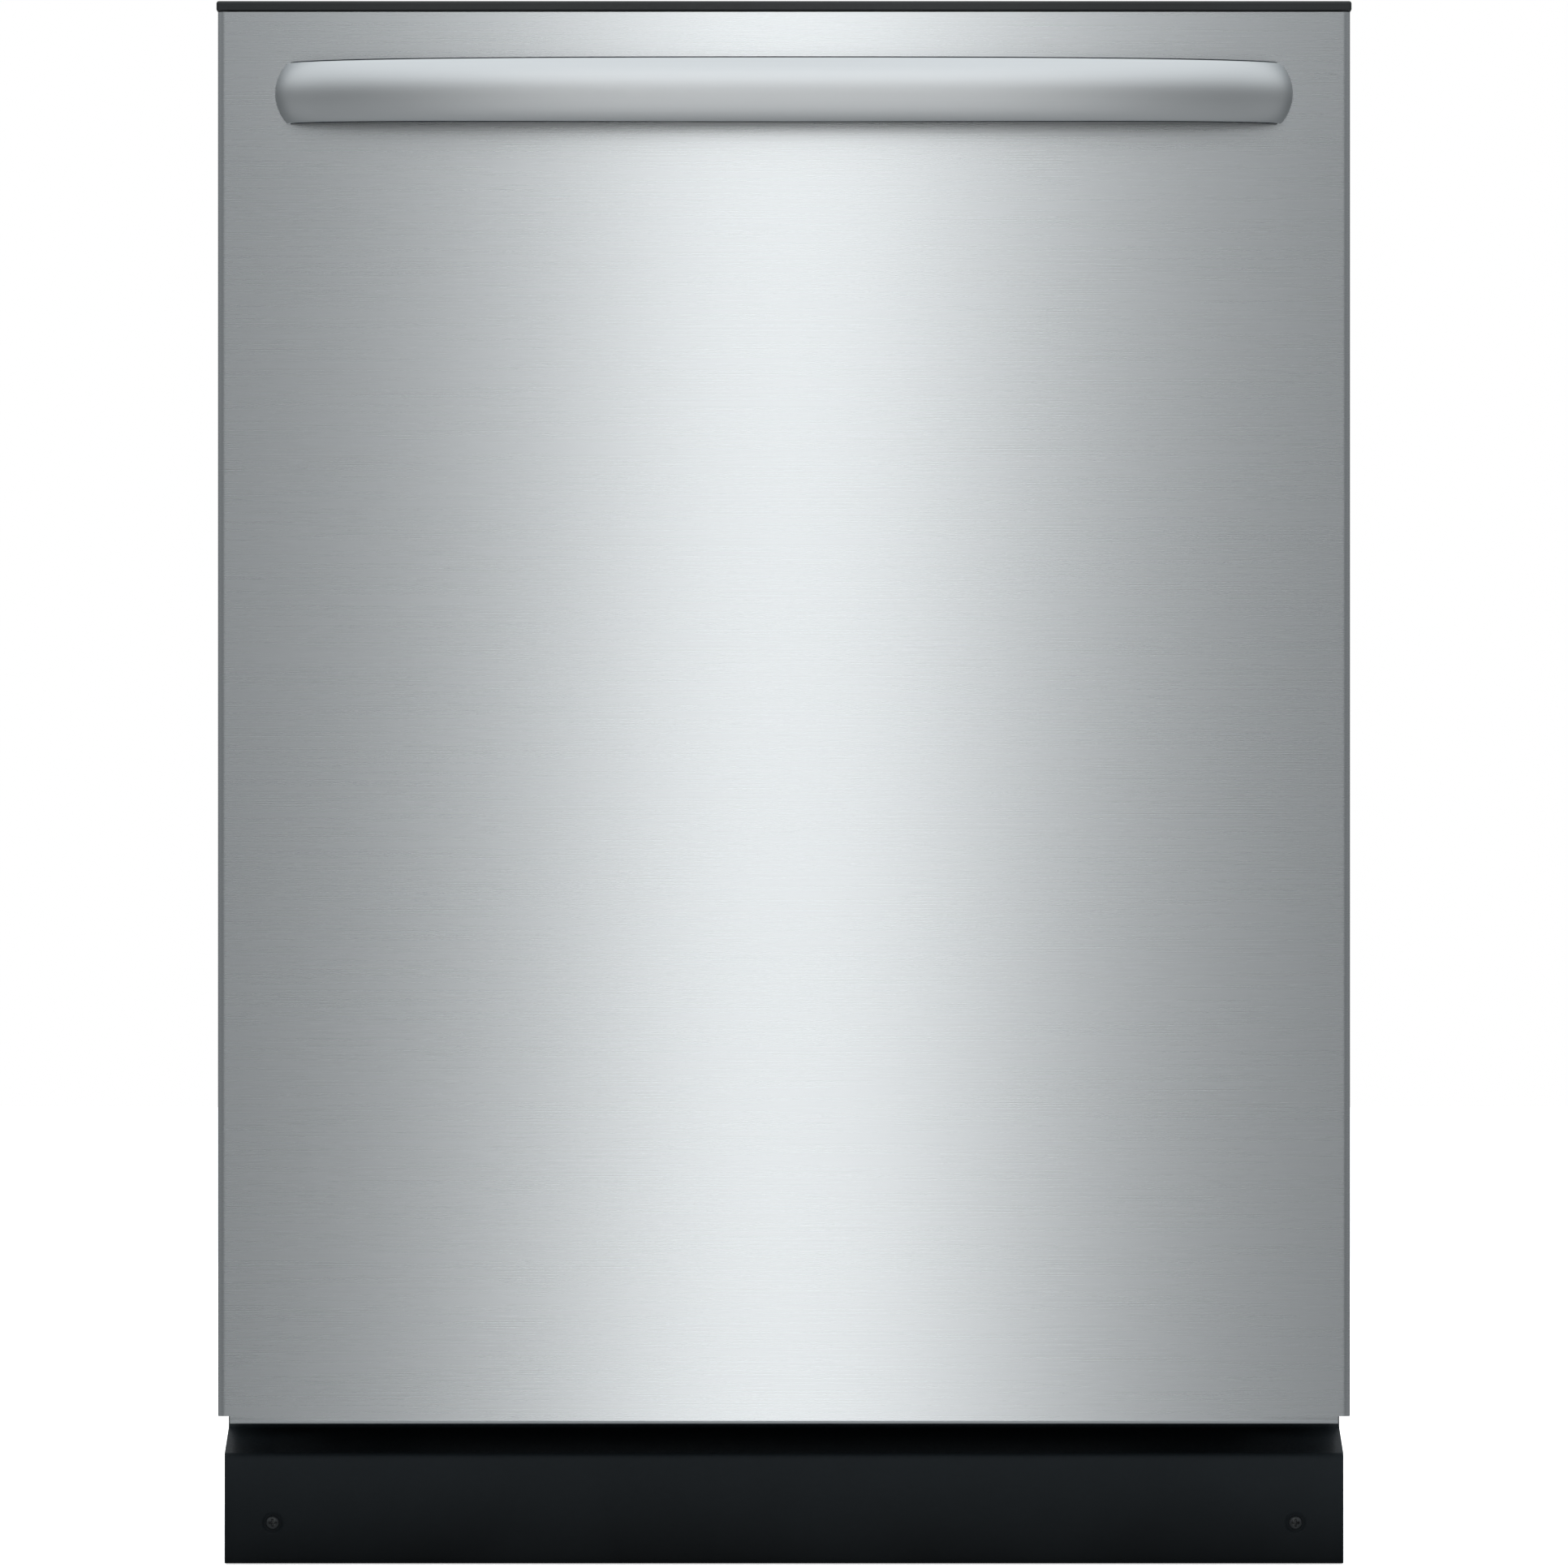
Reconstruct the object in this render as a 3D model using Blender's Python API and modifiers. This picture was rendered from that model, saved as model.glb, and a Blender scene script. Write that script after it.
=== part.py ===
"""Built-in dishwasher, 24 inch class: X to the right, Y to the back, Z up, metres.

The origin is the middle of the floor under the machine. The door hangs on a low
hinge at the front, two wire racks run out over it, and the works lie under the tub.
"""
import math

import bmesh
import bpy
from mathutils import Matrix, Vector

# Driving dimensions
WIDTH = 0.607            # over the control console, the widest piece
DEPTH = 0.635            # handle front to hose at the back
HEIGHT = 0.838           # feet fully in
GAP = 0.0003             # between pieces that touch

HANDLE_STANDOFF = 0.048
DOOR_WIDTH = 0.603
DOOR_THICKNESS = 0.0473
DOOR_BOTTOM_Z = 0.0782
DOOR_TOP_Z = 0.832
CONSOLE_BOTTOM_Z = 0.8094
SHEET = 0.0012

FRONT_Y = -DEPTH / 2
BACK_Y = DEPTH / 2
SKIN_Y = FRONT_Y + HANDLE_STANDOFF
LINER_Y = SKIN_Y + DOOR_THICKNESS
HINGE_Y = SKIN_Y + 0.030
HINGE_Z = 0.100

TUB_HALF = 0.272         # inside of the tub, half its width
TUB_FRONT_Y = LINER_Y + 0.0082
TUB_BACK_Y = 0.276
TUB_FLOOR_Z = 0.118
TUB_ROOF_Z = 0.796
TUB_WALL = 0.0015

FRAME_HALF = 0.2985      # outside of the steel frame
BASE_Z = 0.040
SPRAY_Y = 0.030          # spray arms and sump share this axis
WHEEL_RADIUS = 0.018
RACK_FRONT_Y = -0.195
RACK_BACK_Y = 0.245
LOWER_RACK = (0.250, 0.2085, 0.333)      # half width, floor height, rim height
UPPER_RACK = (0.245, 0.550, 0.650)
WIRE = 0.004
SIDES = (("left", -1), ("right", 1))

KICK_HALF = 0.3005
KICK_BOTTOM_Z = 0.0005
KICK_SCREW_X = 0.2747
KICK_SCREW_Z = 0.0226
HINGE_PIN_RADIUS = 0.004

FOOT_X = 0.270
FOOT_Y = (-0.166, 0.272)
WHEEL_Y = (-0.110, 0.165)
POCKETS_Y = [(-0.1175 + 0.0595 * i, -0.061 + 0.0595 * i) for i in range(4)]
LOWER_ARM_REACH = 0.206
MIDDLE_ARM_REACH = 0.200
ARM_THICKNESS = 0.012
BUTTON_X = [-0.215 + 0.034 * i for i in range(5)]
BUTTON_Y = -0.2510
HANDLE_HALF = 0.272
HANDLE_CROWN = 0.0055
HANDLE_THICKNESS = 0.0035
HANDLE_Z = 0.7885
HANDLE_HALF_HEIGHT = 0.0175
HANDLE_TAPER = 0.0010      # lost from the half height at the ends


def new_collection(name):
    group = bpy.data.collections.new(name)
    bpy.context.scene.collection.children.link(group)
    return group


for leftover in list(bpy.data.objects):
    bpy.data.objects.remove(leftover, do_unlink=True)
PARTS = new_collection("dishwasher")
CUTTERS = new_collection("cutters")


def material(name, colour, roughness, metallic=0.0):
    """A Principled material with one colour."""
    made = bpy.data.materials.new(name)
    made.use_nodes = True
    shader = made.node_tree.nodes["Principled BSDF"]
    shader.inputs["Base Color"].default_value = (*colour, 1.0)
    shader.inputs["Roughness"].default_value = roughness
    shader.inputs["Metallic"].default_value = metallic
    return made


STEEL = material("brushed_stainless", (0.62, 0.63, 0.64), 0.32, 1.0)
TUB_STEEL = material("tub_stainless", (0.66, 0.67, 0.68), 0.25, 1.0)
ZINC = material("zinc_plated_steel", (0.55, 0.56, 0.57), 0.45, 1.0)
BLACK_METAL = material("black_painted_steel", (0.012, 0.014, 0.016), 0.45)
BLACK_PLASTIC = material("black_plastic", (0.015, 0.016, 0.018), 0.38)
GREY_PLASTIC = material("grey_plastic", (0.42, 0.44, 0.46), 0.5)
WHITE_PLASTIC = material("white_plastic", (0.8, 0.8, 0.78), 0.45)
RUBBER = material("black_rubber", (0.02, 0.02, 0.02), 0.8)
NYLON_WIRE = material("nylon_coated_wire", (0.36, 0.39, 0.42), 0.4)
FELT = material("insulation_felt", (0.3, 0.3, 0.29), 0.95)
BOARD = material("circuit_board", (0.02, 0.16, 0.07), 0.5)


def finish(thing, name, surface):
    """Names the object, gives it its material and files it with the parts."""
    thing.name = name
    thing.data.name = name
    thing.data.materials.clear()
    thing.data.materials.append(surface)
    for owner in list(thing.users_collection):
        owner.objects.unlink(thing)
    PARTS.objects.link(thing)
    return thing


def as_cutter(thing):
    """Hides a shape that only cuts or joins."""
    thing.hide_render = True
    thing.display_type = "WIRE"
    for owner in list(thing.users_collection):
        owner.objects.unlink(thing)
    CUTTERS.objects.link(thing)
    return thing


def block(x, y, z, bevel=0.0):
    """A box between two values on each axis, with its scale applied."""
    low = Vector((x[0], y[0], z[0]))
    high = Vector((x[1], y[1], z[1]))
    bpy.ops.mesh.primitive_cube_add(size=1.0, location=(low + high) / 2)
    thing = bpy.context.object
    thing.data.transform(Matrix.Diagonal((*(high - low), 1.0)))
    if bevel:
        add_bevel(thing, bevel)
    return thing


def add_bevel(thing, width, segments=2):
    bevel = thing.modifiers.new("edge", "BEVEL")
    bevel.width = width
    bevel.segments = segments
    bevel.limit_method = "ANGLE"
    return bevel


def rod(centre, axis, radius, length, sides=16):
    """A cylinder along X, Y or Z about its centre."""
    turn = {"X": (0, math.pi / 2, 0), "Y": (math.pi / 2, 0, 0), "Z": (0, 0, 0)}[axis]
    bpy.ops.mesh.primitive_cylinder_add(
        vertices=sides, radius=radius, depth=length, location=centre, rotation=turn)
    thing = bpy.context.object
    round_shading(thing)
    return thing


def round_shading(thing):
    thing.data.shade_smooth()
    thing.data.set_sharp_from_angle(angle=math.radians(35))


def boolean(thing, tool, operation, solver="EXACT"):
    step = thing.modifiers.new(operation.lower(), "BOOLEAN")
    step.operation = operation
    step.object = as_cutter(tool)
    step.solver = solver
    return thing


def cut(thing, tool):
    return boolean(thing, tool, "DIFFERENCE")


def weld_on(thing, tool, solver="EXACT"):
    return boolean(thing, tool, "UNION", solver)


def turned(profile, centre, steps=24):
    """Revolves (radius, height) points, listed from the top down, about Z."""
    mesh = bpy.data.meshes.new("profile")
    points = [(radius, 0.0, height) for radius, height in profile]
    mesh.from_pydata(points, [(i, i + 1) for i in range(len(points) - 1)], [])
    thing = bpy.data.objects.new("turned", mesh)
    PARTS.objects.link(thing)
    thing.location = centre
    screw = thing.modifiers.new("turn", "SCREW")
    screw.steps = steps
    screw.render_steps = steps
    screw.use_merge_vertices = True
    screw.merge_threshold = 0.00001
    screw.use_smooth_shade = True
    return thing


def tube(points, radius, bevel_resolution=2):
    """A round rod along a list of points, with closed ends."""
    curve = bpy.data.curves.new("path", "CURVE")
    curve.dimensions = "3D"
    curve.bevel_depth = radius
    curve.bevel_resolution = bevel_resolution
    curve.use_fill_caps = True
    spline = curve.splines.new("POLY")
    spline.points.add(len(points) - 1)
    for slot, point in zip(spline.points, points):
        slot.co = (*point, 1.0)
    thing = bpy.data.objects.new("tube", curve)
    PARTS.objects.link(thing)
    return thing


def rounded_path(corners, radius, steps=4):
    """Points along straight runs whose corners are turned with arcs."""
    corners = [Vector(corner) for corner in corners]
    path = [corners[0]]
    for before, corner, after in zip(corners, corners[1:], corners[2:]):
        into = (before - corner).normalized()
        out = (after - corner).normalized()
        half = into.angle(out) / 2
        reach = radius / math.tan(half)
        middle = corner + (into + out).normalized() * (radius / math.sin(half))
        start = corner + into * reach - middle
        end = corner + out * reach - middle
        sweep = start.angle(end)
        for step in range(steps + 1):
            share = step / steps
            arm = (start * math.sin((1 - share) * sweep) + end * math.sin(share * sweep))
            path.append(middle + arm / math.sin(sweep))
    path.append(corners[-1])
    return path


def plate(outlines, plane, low, high):
    """Flat outlines, the first with the others as holes, given thickness.

    plane XY thickens along Z, and YZ thickens along X.
    """
    curve = bpy.data.curves.new("outline", "CURVE")
    curve.dimensions = "2D"
    curve.fill_mode = "BOTH"
    curve.extrude = (high - low) / 2
    for outline in outlines:
        spline = curve.splines.new("POLY")
        spline.points.add(len(outline) - 1)
        for slot, point in zip(spline.points, outline):
            slot.co = (*point, 0.0, 1.0)
        spline.use_cyclic_u = True
    thing = bpy.data.objects.new("plate", curve)
    PARTS.objects.link(thing)
    middle = (low + high) / 2
    if plane == "XY":
        thing.matrix_world = Matrix.Translation((0, 0, middle))
    else:
        columns = ((0, 0, 1), (1, 0, 0), (0, 1, 0))
        thing.matrix_world = Matrix.Translation((middle, 0, 0)) @ Matrix(columns).to_4x4()
    bpy.context.view_layer.update()
    return thing


def to_mesh(thing):
    """A curve object's shape as a mesh object with its caps welded."""
    bpy.context.view_layer.update()
    graph = bpy.context.evaluated_depsgraph_get()
    mesh = bpy.data.meshes.new_from_object(thing.evaluated_get(graph))
    form = bmesh.new()
    form.from_mesh(mesh)
    bmesh.ops.remove_doubles(form, verts=form.verts, dist=0.00001)
    form.to_mesh(mesh)
    form.free()
    made = bpy.data.objects.new(thing.name, mesh)
    PARTS.objects.link(made)
    made.matrix_world = thing.matrix_world.copy()
    bpy.data.objects.remove(thing, do_unlink=True)
    return made


def circle(centre, radius, sides=24, start=0.0, sweep=2 * math.pi):
    """Points on an arc. A full circle leaves out its repeated last point."""
    full = abs(sweep - 2 * math.pi) < 1e-9
    count = sides if full else sides + 1
    return [(centre[0] + radius * math.cos(start + sweep * i / sides),
             centre[1] + radius * math.sin(start + sweep * i / sides)) for i in range(count)]


def tray(x, y, z, open_faces, bevel, thickness):
    """A box of sheet with the faces whose normals are listed left open."""
    thing = block(x, y, z)
    form = bmesh.new()
    form.from_mesh(thing.data)
    form.normal_update()
    gone = [face for face in form.faces
            if any(face.normal.dot(Vector(way)) > 0.9 for way in open_faces)]
    bmesh.ops.delete(form, geom=gone, context="FACES")
    form.to_mesh(thing.data)
    form.free()
    add_bevel(thing, bevel)
    wall = thing.modifiers.new("sheet", "SOLIDIFY")
    wall.thickness = thickness
    wall.offset = -1
    wall.use_even_offset = True
    return thing


def wire_basket(half, floor_z, rim_z, columns, rows, levels):
    """An open basket of welded wires, from the edges of a coarse grid."""
    mesh = bpy.data.meshes.new("basket")
    form = bmesh.new()
    bmesh.ops.create_grid(form, x_segments=columns, y_segments=rows, size=1.0)
    middle = (RACK_FRONT_Y + RACK_BACK_Y) / 2
    reach = (RACK_BACK_Y - RACK_FRONT_Y) / 2
    placed = Matrix.Translation((0, middle, floor_z)) @ Matrix.Diagonal((half, reach, 1, 1))
    bmesh.ops.transform(form, matrix=placed, verts=form.verts)
    for _ in range(levels):
        edge_loop = [edge for edge in form.edges if edge.is_boundary]
        raised = bmesh.ops.extrude_edge_only(form, edges=edge_loop)["geom"]
        corners = [item for item in raised if isinstance(item, bmesh.types.BMVert)]
        bmesh.ops.translate(form, vec=(0, 0, (rim_z - floor_z) / levels), verts=corners)
    bmesh.ops.recalc_face_normals(form, faces=form.faces)
    form.to_mesh(mesh)
    form.free()
    thing = bpy.data.objects.new("basket", mesh)
    PARTS.objects.link(thing)
    lattice(thing)
    return thing


def lattice(thing):
    """Turns each edge of a coarse mesh into a wire."""
    wires = thing.modifiers.new("wires", "WIREFRAME")
    wires.thickness = WIRE
    wires.offset = 0
    wires.use_replace = True
    wires.use_boundary = True
    wires.use_even_offset = True
    return thing


# The fixed shell: tub, seal, frame and base

def make_tub():
    outside = TUB_HALF + TUB_WALL
    thing = block((-outside, outside), (TUB_FRONT_Y, TUB_BACK_Y + TUB_WALL),
                  (TUB_FLOOR_Z - TUB_WALL, TUB_ROOF_Z + TUB_WALL))
    flange = block((-0.279, 0.279), (TUB_FRONT_Y, TUB_FRONT_Y + TUB_WALL), (0.107, 0.809))
    weld_on(thing, flange)
    inside = block((-TUB_HALF, TUB_HALF), (TUB_FRONT_Y - 0.03, TUB_BACK_Y),
                   (TUB_FLOOR_Z, TUB_ROOF_Z))
    cut(thing, inside)
    cut(thing, rod((0, SPRAY_Y, TUB_FLOOR_Z), "Z", 0.100, 0.02, 48))
    return finish(thing, "tub", TUB_STEEL)


def make_gasket():
    front = LINER_Y + 0.0007
    thing = block((-0.2785, 0.2785), (front, TUB_FRONT_Y - GAP), (0.125, 0.808))
    cut(thing, block((-0.2735, 0.2735), (front - 0.01, TUB_FRONT_Y + 0.01), (0.10, 0.800)))
    return finish(thing, "tub_gasket", RUBBER)


def make_front_frame():
    front = TUB_FRONT_Y + TUB_WALL + 0.0005
    thing = block((-FRAME_HALF, FRAME_HALF), (front, -0.170), (0.082, 0.829))
    cut(thing, block((-0.283, 0.283), (front - 0.01, -0.16), (0.05, 0.8105)))
    return finish(thing, "front_frame", ZINC)


def make_base_frame():
    front = -0.186
    thing = block((-0.298, 0.298), (0.293, BACK_Y), (BASE_Z, 0.075))
    for _, side in SIDES:
        flange_x = sorted((side * 0.250, side * 0.298))
        plate_x = sorted((side * 0.290, side * 0.298))
        weld_on(thing, block(flange_x, (front, 0.300), (BASE_Z, BASE_Z + 0.006)))
        weld_on(thing, block(plate_x, (-0.1697, 0.298), (BASE_Z + 0.003, 0.1465)))
        for foot_y in FOOT_Y:
            cut(thing, rod((side * FOOT_X, foot_y, BASE_Z), "Z", 0.0056, 0.09))
    return finish(thing, "base_frame", ZINC)


def make_feet():
    """Threaded levelling feet, screwed fully in."""
    profile = [(0, 0.074), (0.005, 0.074), (0.005, 0.014), (0.011, 0.012), (0.011, 0.006),
               (0.018, 0.004), (0.018, 0.0), (0, 0.0)]
    for place, foot_y in zip(("front", "rear"), FOOT_Y):
        for side_name, side in SIDES:
            foot = turned(profile, (side * FOOT_X, foot_y, 0), 16)
            finish(foot, f"leveling_foot_{place}_{side_name}", ZINC)


def make_crossmember():
    thing = block((-0.248, 0.248), (-0.187, -0.160), (BASE_Z, 0.098))
    cut(thing, block((-0.25, 0.25), (-0.185, -0.15), (BASE_Z + 0.002, 0.096)))
    return finish(thing, "front_crossmember", ZINC)


def make_blanket():
    """Sound-deadening jacket over the roof, sides and back of the tub."""
    thing = block((-0.2885, 0.2885), (-0.168, 0.2935), (0.148, 0.8125), 0.006)
    cut(thing, block((-0.2745, 0.2745), (-0.20, 0.2785), (0.10, 0.7985)))
    return finish(thing, "insulation_blanket", FELT)


def make_mounting_brackets():
    """Tabs that a worktop is screwed down to."""
    for side_name, side in SIDES:
        x = sorted((side * 0.200, side * 0.236))
        thing = block(x, (-0.208, -0.176), (0.8293, 0.8307))
        weld_on(thing, block(x, (-0.208, -0.2065), (0.8300, 0.8362)))
        weld_on(thing, block(x, (-0.208, -0.186), (0.8350, 0.8364)))
        cut(thing, rod((side * 0.218, -0.196, 0.833), "Z", 0.0025, 0.02, 12))
        finish(thing, f"mounting_bracket_{side_name}", ZINC)


def make_strike():
    back = TUB_FRONT_Y + 0.0017
    thing = block((-0.022, 0.022), (back - 0.0017, back), (0.8140, 0.8285))
    weld_on(thing, block((-0.008, 0.008), (-0.238, back - 0.0005), (0.8215, 0.8235)))
    return finish(thing, "door_strike", ZINC)


def make_hinge_brackets():
    for side_name, side in SIDES:
        x = sorted((side * 0.2795, side * 0.2825))
        thing = block(x, (-0.2490, -0.1725), (0.088, 0.125))
        pin = rod((side * 0.2842, HINGE_Y, HINGE_Z), "X", HINGE_PIN_RADIUS, 0.0075)
        weld_on(thing, pin)
        finish(thing, f"hinge_bracket_{side_name}", ZINC)


def make_springs():
    """Counterbalance springs of the door, lying along both sides of the base."""
    turns, per_turn = 9, 6
    start, length, coil = -0.140, 0.110, 0.0055
    for side_name, side in SIDES:
        points = [(side * 0.270, start - 0.010, 0.080)]
        for i in range(turns * per_turn + 1):
            angle = 2 * math.pi * i / per_turn
            points.append((side * 0.270 + coil * math.cos(angle),
                           start + length * i / (turns * per_turn),
                           0.080 + coil * math.sin(angle)))
        points.append((side * 0.270, start + length + 0.010, 0.080))
        finish(tube(points, 0.0009, 0), f"door_spring_{side_name}", ZINC)


def make_kick_panel():
    """Folded toe panel: a bottom return, the face, a slope back and a rear flange."""
    corners = [(-0.2275, KICK_BOTTOM_Z), (HINGE_Y, KICK_BOTTOM_Z), (HINGE_Y, 0.0595),
               (-0.1895, 0.0715), (-0.1895, 0.0800)]
    mesh = bpy.data.meshes.new("kick")
    form = bmesh.new()
    ring = [form.verts.new((-KICK_HALF, *corner)) for corner in corners]
    edges = [form.edges.new(pair) for pair in zip(ring, ring[1:])]
    swept = bmesh.ops.extrude_edge_only(form, edges=edges)["geom"]
    moved = [item for item in swept if isinstance(item, bmesh.types.BMVert)]
    bmesh.ops.translate(form, vec=(2 * KICK_HALF, 0, 0), verts=moved)
    form.normal_update()
    if sum(face.normal.y * face.calc_area() for face in form.faces) > 0:
        bmesh.ops.reverse_faces(form, faces=form.faces)
    form.to_mesh(mesh)
    form.free()
    thing = bpy.data.objects.new("kick", mesh)
    PARTS.objects.link(thing)
    add_bevel(thing, 0.0025)
    wall = thing.modifiers.new("sheet", "SOLIDIFY")
    wall.thickness = SHEET
    wall.offset = -1
    wall.use_even_offset = True
    for _, side in SIDES:
        centre = (side * KICK_SCREW_X, HINGE_Y, KICK_SCREW_Z)
        cut(thing, rod(centre, "Y", 0.0055, 0.0010, 24))
        cut(thing, rod(centre, "Y", 0.0022, 0.0060, 12))
    return finish(thing, "kick_panel", BLACK_METAL)


def make_kick_screws():
    """Pan-head screws, turned and laid along Y."""
    profile = [(0, 0.0020), (0.0018, 0.0018), (0.0032, 0.0009), (0.0034, 0.0),
               (0.0018, 0.0), (0.0018, -0.0140), (0, -0.0150)]
    for side_name, side in SIDES:
        centre = (side * KICK_SCREW_X, HINGE_Y + 0.0002, KICK_SCREW_Z)
        screw = turned(profile, centre, 16)
        screw.rotation_euler = (math.pi / 2, 0, 0)
        finish(screw, f"kick_screw_{side_name}", BLACK_METAL)


# The works under and inside the tub

def make_sump():
    floor, rim = 0.052, TUB_FLOOR_Z + GAP
    profile = [(0, 0.175), (0.016, 0.175), (0.016, floor + 0.004), (0.0955, floor + 0.004),
               (0.0955, rim + 0.002), (0.108, rim + 0.002), (0.108, rim), (0.0995, rim),
               (0.0995, floor), (0, floor)]
    return finish(turned(profile, (0, SPRAY_Y, 0), 32), "sump", GREY_PLASTIC)


def make_filter():
    bottom = 0.0565
    profile = [(0, bottom + 0.004), (0.031, bottom + 0.004), (0.031, 0.134), (0.034, 0.134),
               (0.034, bottom), (0, bottom)]
    thing = turned(profile, (0.056, SPRAY_Y, 0), 20)
    weld_on(thing, block((0.0240, 0.0880), (SPRAY_Y - 0.003, SPRAY_Y + 0.003), (0.120, 0.1335)))
    return finish(thing, "filter_cylinder", GREY_PLASTIC)


def arm_outline(reach, root, tip, twist):
    """Two blades about the axis, the second the first turned half round."""
    blade = [(root * 0.5, -root), (reach - tip, -tip + twist)]
    blade += [(reach - tip + x, twist + y)
              for x, y in circle((0, 0), tip, 6, -math.pi / 2 + 0.3, math.pi - 0.6)]
    blade += [(reach - tip, tip + twist), (root * 0.5, root)]
    half_turn = [(-x, -y) for x, y in blade]
    return [(x, SPRAY_Y + y) for x, y in blade + half_turn]


def make_spray_arm(name, reach, bottom, hub, surface):
    """hub gives its outer radius, bore radius, bottom, bore top and top."""
    outer, bore, low, bore_top, top = hub
    thing = to_mesh(plate([arm_outline(reach, 0.020, 0.014, 0.012)], "XY", bottom, bottom + ARM_THICKNESS))
    weld_on(thing, rod((0, SPRAY_Y, (low + top) / 2), "Z", outer, top - low, 24))
    cut(thing, rod((0, SPRAY_Y, (low + bore_top) / 2 - 0.005), "Z", bore, bore_top - low + 0.01, 24))
    return finish(thing, name, surface)


def make_heater():
    """A sheathed loop over the tub floor, its two ends turned down at the back."""
    z, end_z, half = 0.130, TUB_FLOOR_Z + GAP, 0.225
    corners = [(-0.030, 0.225, end_z), (-0.030, 0.225, z), (-half, 0.225, z), (-half, -0.165, z),
               (half, -0.165, z), (half, 0.225, z), (0.030, 0.225, z), (0.030, 0.225, end_z)]
    path = rounded_path(corners, 0.011, 3)
    return finish(tube(path, 0.0035, 1), "heating_element", ZINC)


def make_float():
    low = TUB_FLOOR_Z + GAP
    profile = [(0, low + 0.030), (0.010, low + 0.029), (0.0165, low + 0.024), (0.018, low + 0.018),
               (0.018, low), (0, low)]
    return finish(turned(profile, (-0.195, -0.135, 0), 16), "float_cap", GREY_PLASTIC)


def make_feed_tube():
    corners = [(0, 0.2635, TUB_FLOOR_Z + GAP), (0, 0.2635, 0.540), (0, 0.2495, 0.540)]
    return finish(tube(rounded_path(corners, 0.0095, 4), 0.009, 2), "feed_tube", GREY_PLASTIC)


def make_pumps():
    motor = rod((-0.1635, SPRAY_Y, 0.080), "X", 0.032, 0.120, 24)
    weld_on(motor, rod((-0.1635, SPRAY_Y, 0.080), "X", 0.0335, 0.070, 24))
    finish(motor, "wash_motor", BLACK_METAL)
    pump = rod((0.1320, 0.060, 0.078), "X", 0.024, 0.056, 20)
    weld_on(pump, rod((0.1650, 0.060, 0.078), "X", 0.007, 0.030, 12))
    finish(pump, "drain_pump", WHITE_PLASTIC)


def make_drain_hose():
    """From the pump to the back and over a high loop clipped behind the tub."""
    back = 0.3060
    corners = [(0.1803, 0.060, 0.078), (0.215, 0.060, 0.078), (0.215, 0.140, 0.092),
               (0.215, back, 0.092), (0.215, back, 0.620), (0.275, back, 0.620),
               (0.275, back, 0.180)]
    return finish(tube(rounded_path(corners, 0.026, 3), 0.010, 1), "drain_hose", GREY_PLASTIC)


def make_inlet_valve():
    thing = block((-0.235, -0.195), (-0.145, -0.110), (0.058, 0.078), 0.002)
    weld_on(thing, rod((-0.215, -0.1275, 0.088), "Z", 0.012, 0.030, 12))
    weld_on(thing, rod((-0.215, -0.1050, 0.068), "Y", 0.008, 0.020, 12))
    return finish(thing, "inlet_valve", WHITE_PLASTIC)


def make_junction_box():
    thing = block((0.185, 0.240), (-0.145, -0.095), (0.050, 0.088), 0.001)
    weld_on(thing, rod((0.2125, -0.0900, 0.066), "Y", 0.010, 0.014, 16))
    cut(thing, rod((0.2125, -0.0870, 0.066), "Y", 0.006, 0.024, 12))
    return finish(thing, "junction_box", ZINC)


# Racks

def blocks(spans):
    """Boxes that stand apart, in one mesh, each from its spans along X, Y and Z."""
    form = bmesh.new()
    for span in spans:
        low = Vector([min(pair) for pair in span])
        high = Vector([max(pair) for pair in span])
        placed = Matrix.Translation((low + high) / 2)
        bmesh.ops.create_cube(form, size=1.0,
                              matrix=placed @ Matrix.Diagonal((*(high - low), 1)))
    mesh = bpy.data.meshes.new("blocks")
    form.to_mesh(mesh)
    form.free()
    thing = bpy.data.objects.new("blocks", mesh)
    CUTTERS.objects.link(thing)
    return thing


def tines(floor_z, height, rows_x):
    """Spans of the upright pegs of a plate rack."""
    spans = []
    for x in rows_x:
        for i in range(6):
            y = -0.110 + 0.054 * i
            spans.append(((x - 0.0015, x + 0.0015), (y - 0.0015, y + 0.0015),
                          (floor_z - 0.0006, floor_z + height)))
    return spans


def make_lower_rack():
    half, floor_z, rim_z = LOWER_RACK
    thing = wire_basket(half, floor_z, rim_z, 8, 6, 1)
    weld_on(thing, blocks(tines(floor_z, 0.070, (-0.1875, -0.0625))))
    axle_z = TUB_FLOOR_Z + WHEEL_RADIUS + GAP
    for _, side in SIDES:
        for wheel_y in WHEEL_Y:
            hanger = block(sorted((side * 0.2495, side * 0.2555)),
                           (wheel_y - 0.007, wheel_y + 0.007), (axle_z - 0.006, 0.2093))
            axle = rod((side * 0.2622, wheel_y, axle_z), "X", 0.003, 0.0140, 12)
            weld_on(thing, hanger)
            weld_on(thing, axle)
    return finish(thing, "lower_rack", NYLON_WIRE)


def make_wheels():
    axle_z = TUB_FLOOR_Z + WHEEL_RADIUS + GAP
    for place, wheel_y in zip(("front", "rear"), WHEEL_Y):
        for side_name, side in SIDES:
            wheel = rod((side * 0.2621, wheel_y, axle_z), "X", WHEEL_RADIUS, 0.010, 24)
            cut(wheel, rod((side * 0.2621, wheel_y, axle_z), "X", 0.0034, 0.03, 12))
            finish(wheel, f"lower_wheel_{place}_{side_name}", GREY_PLASTIC)


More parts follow.
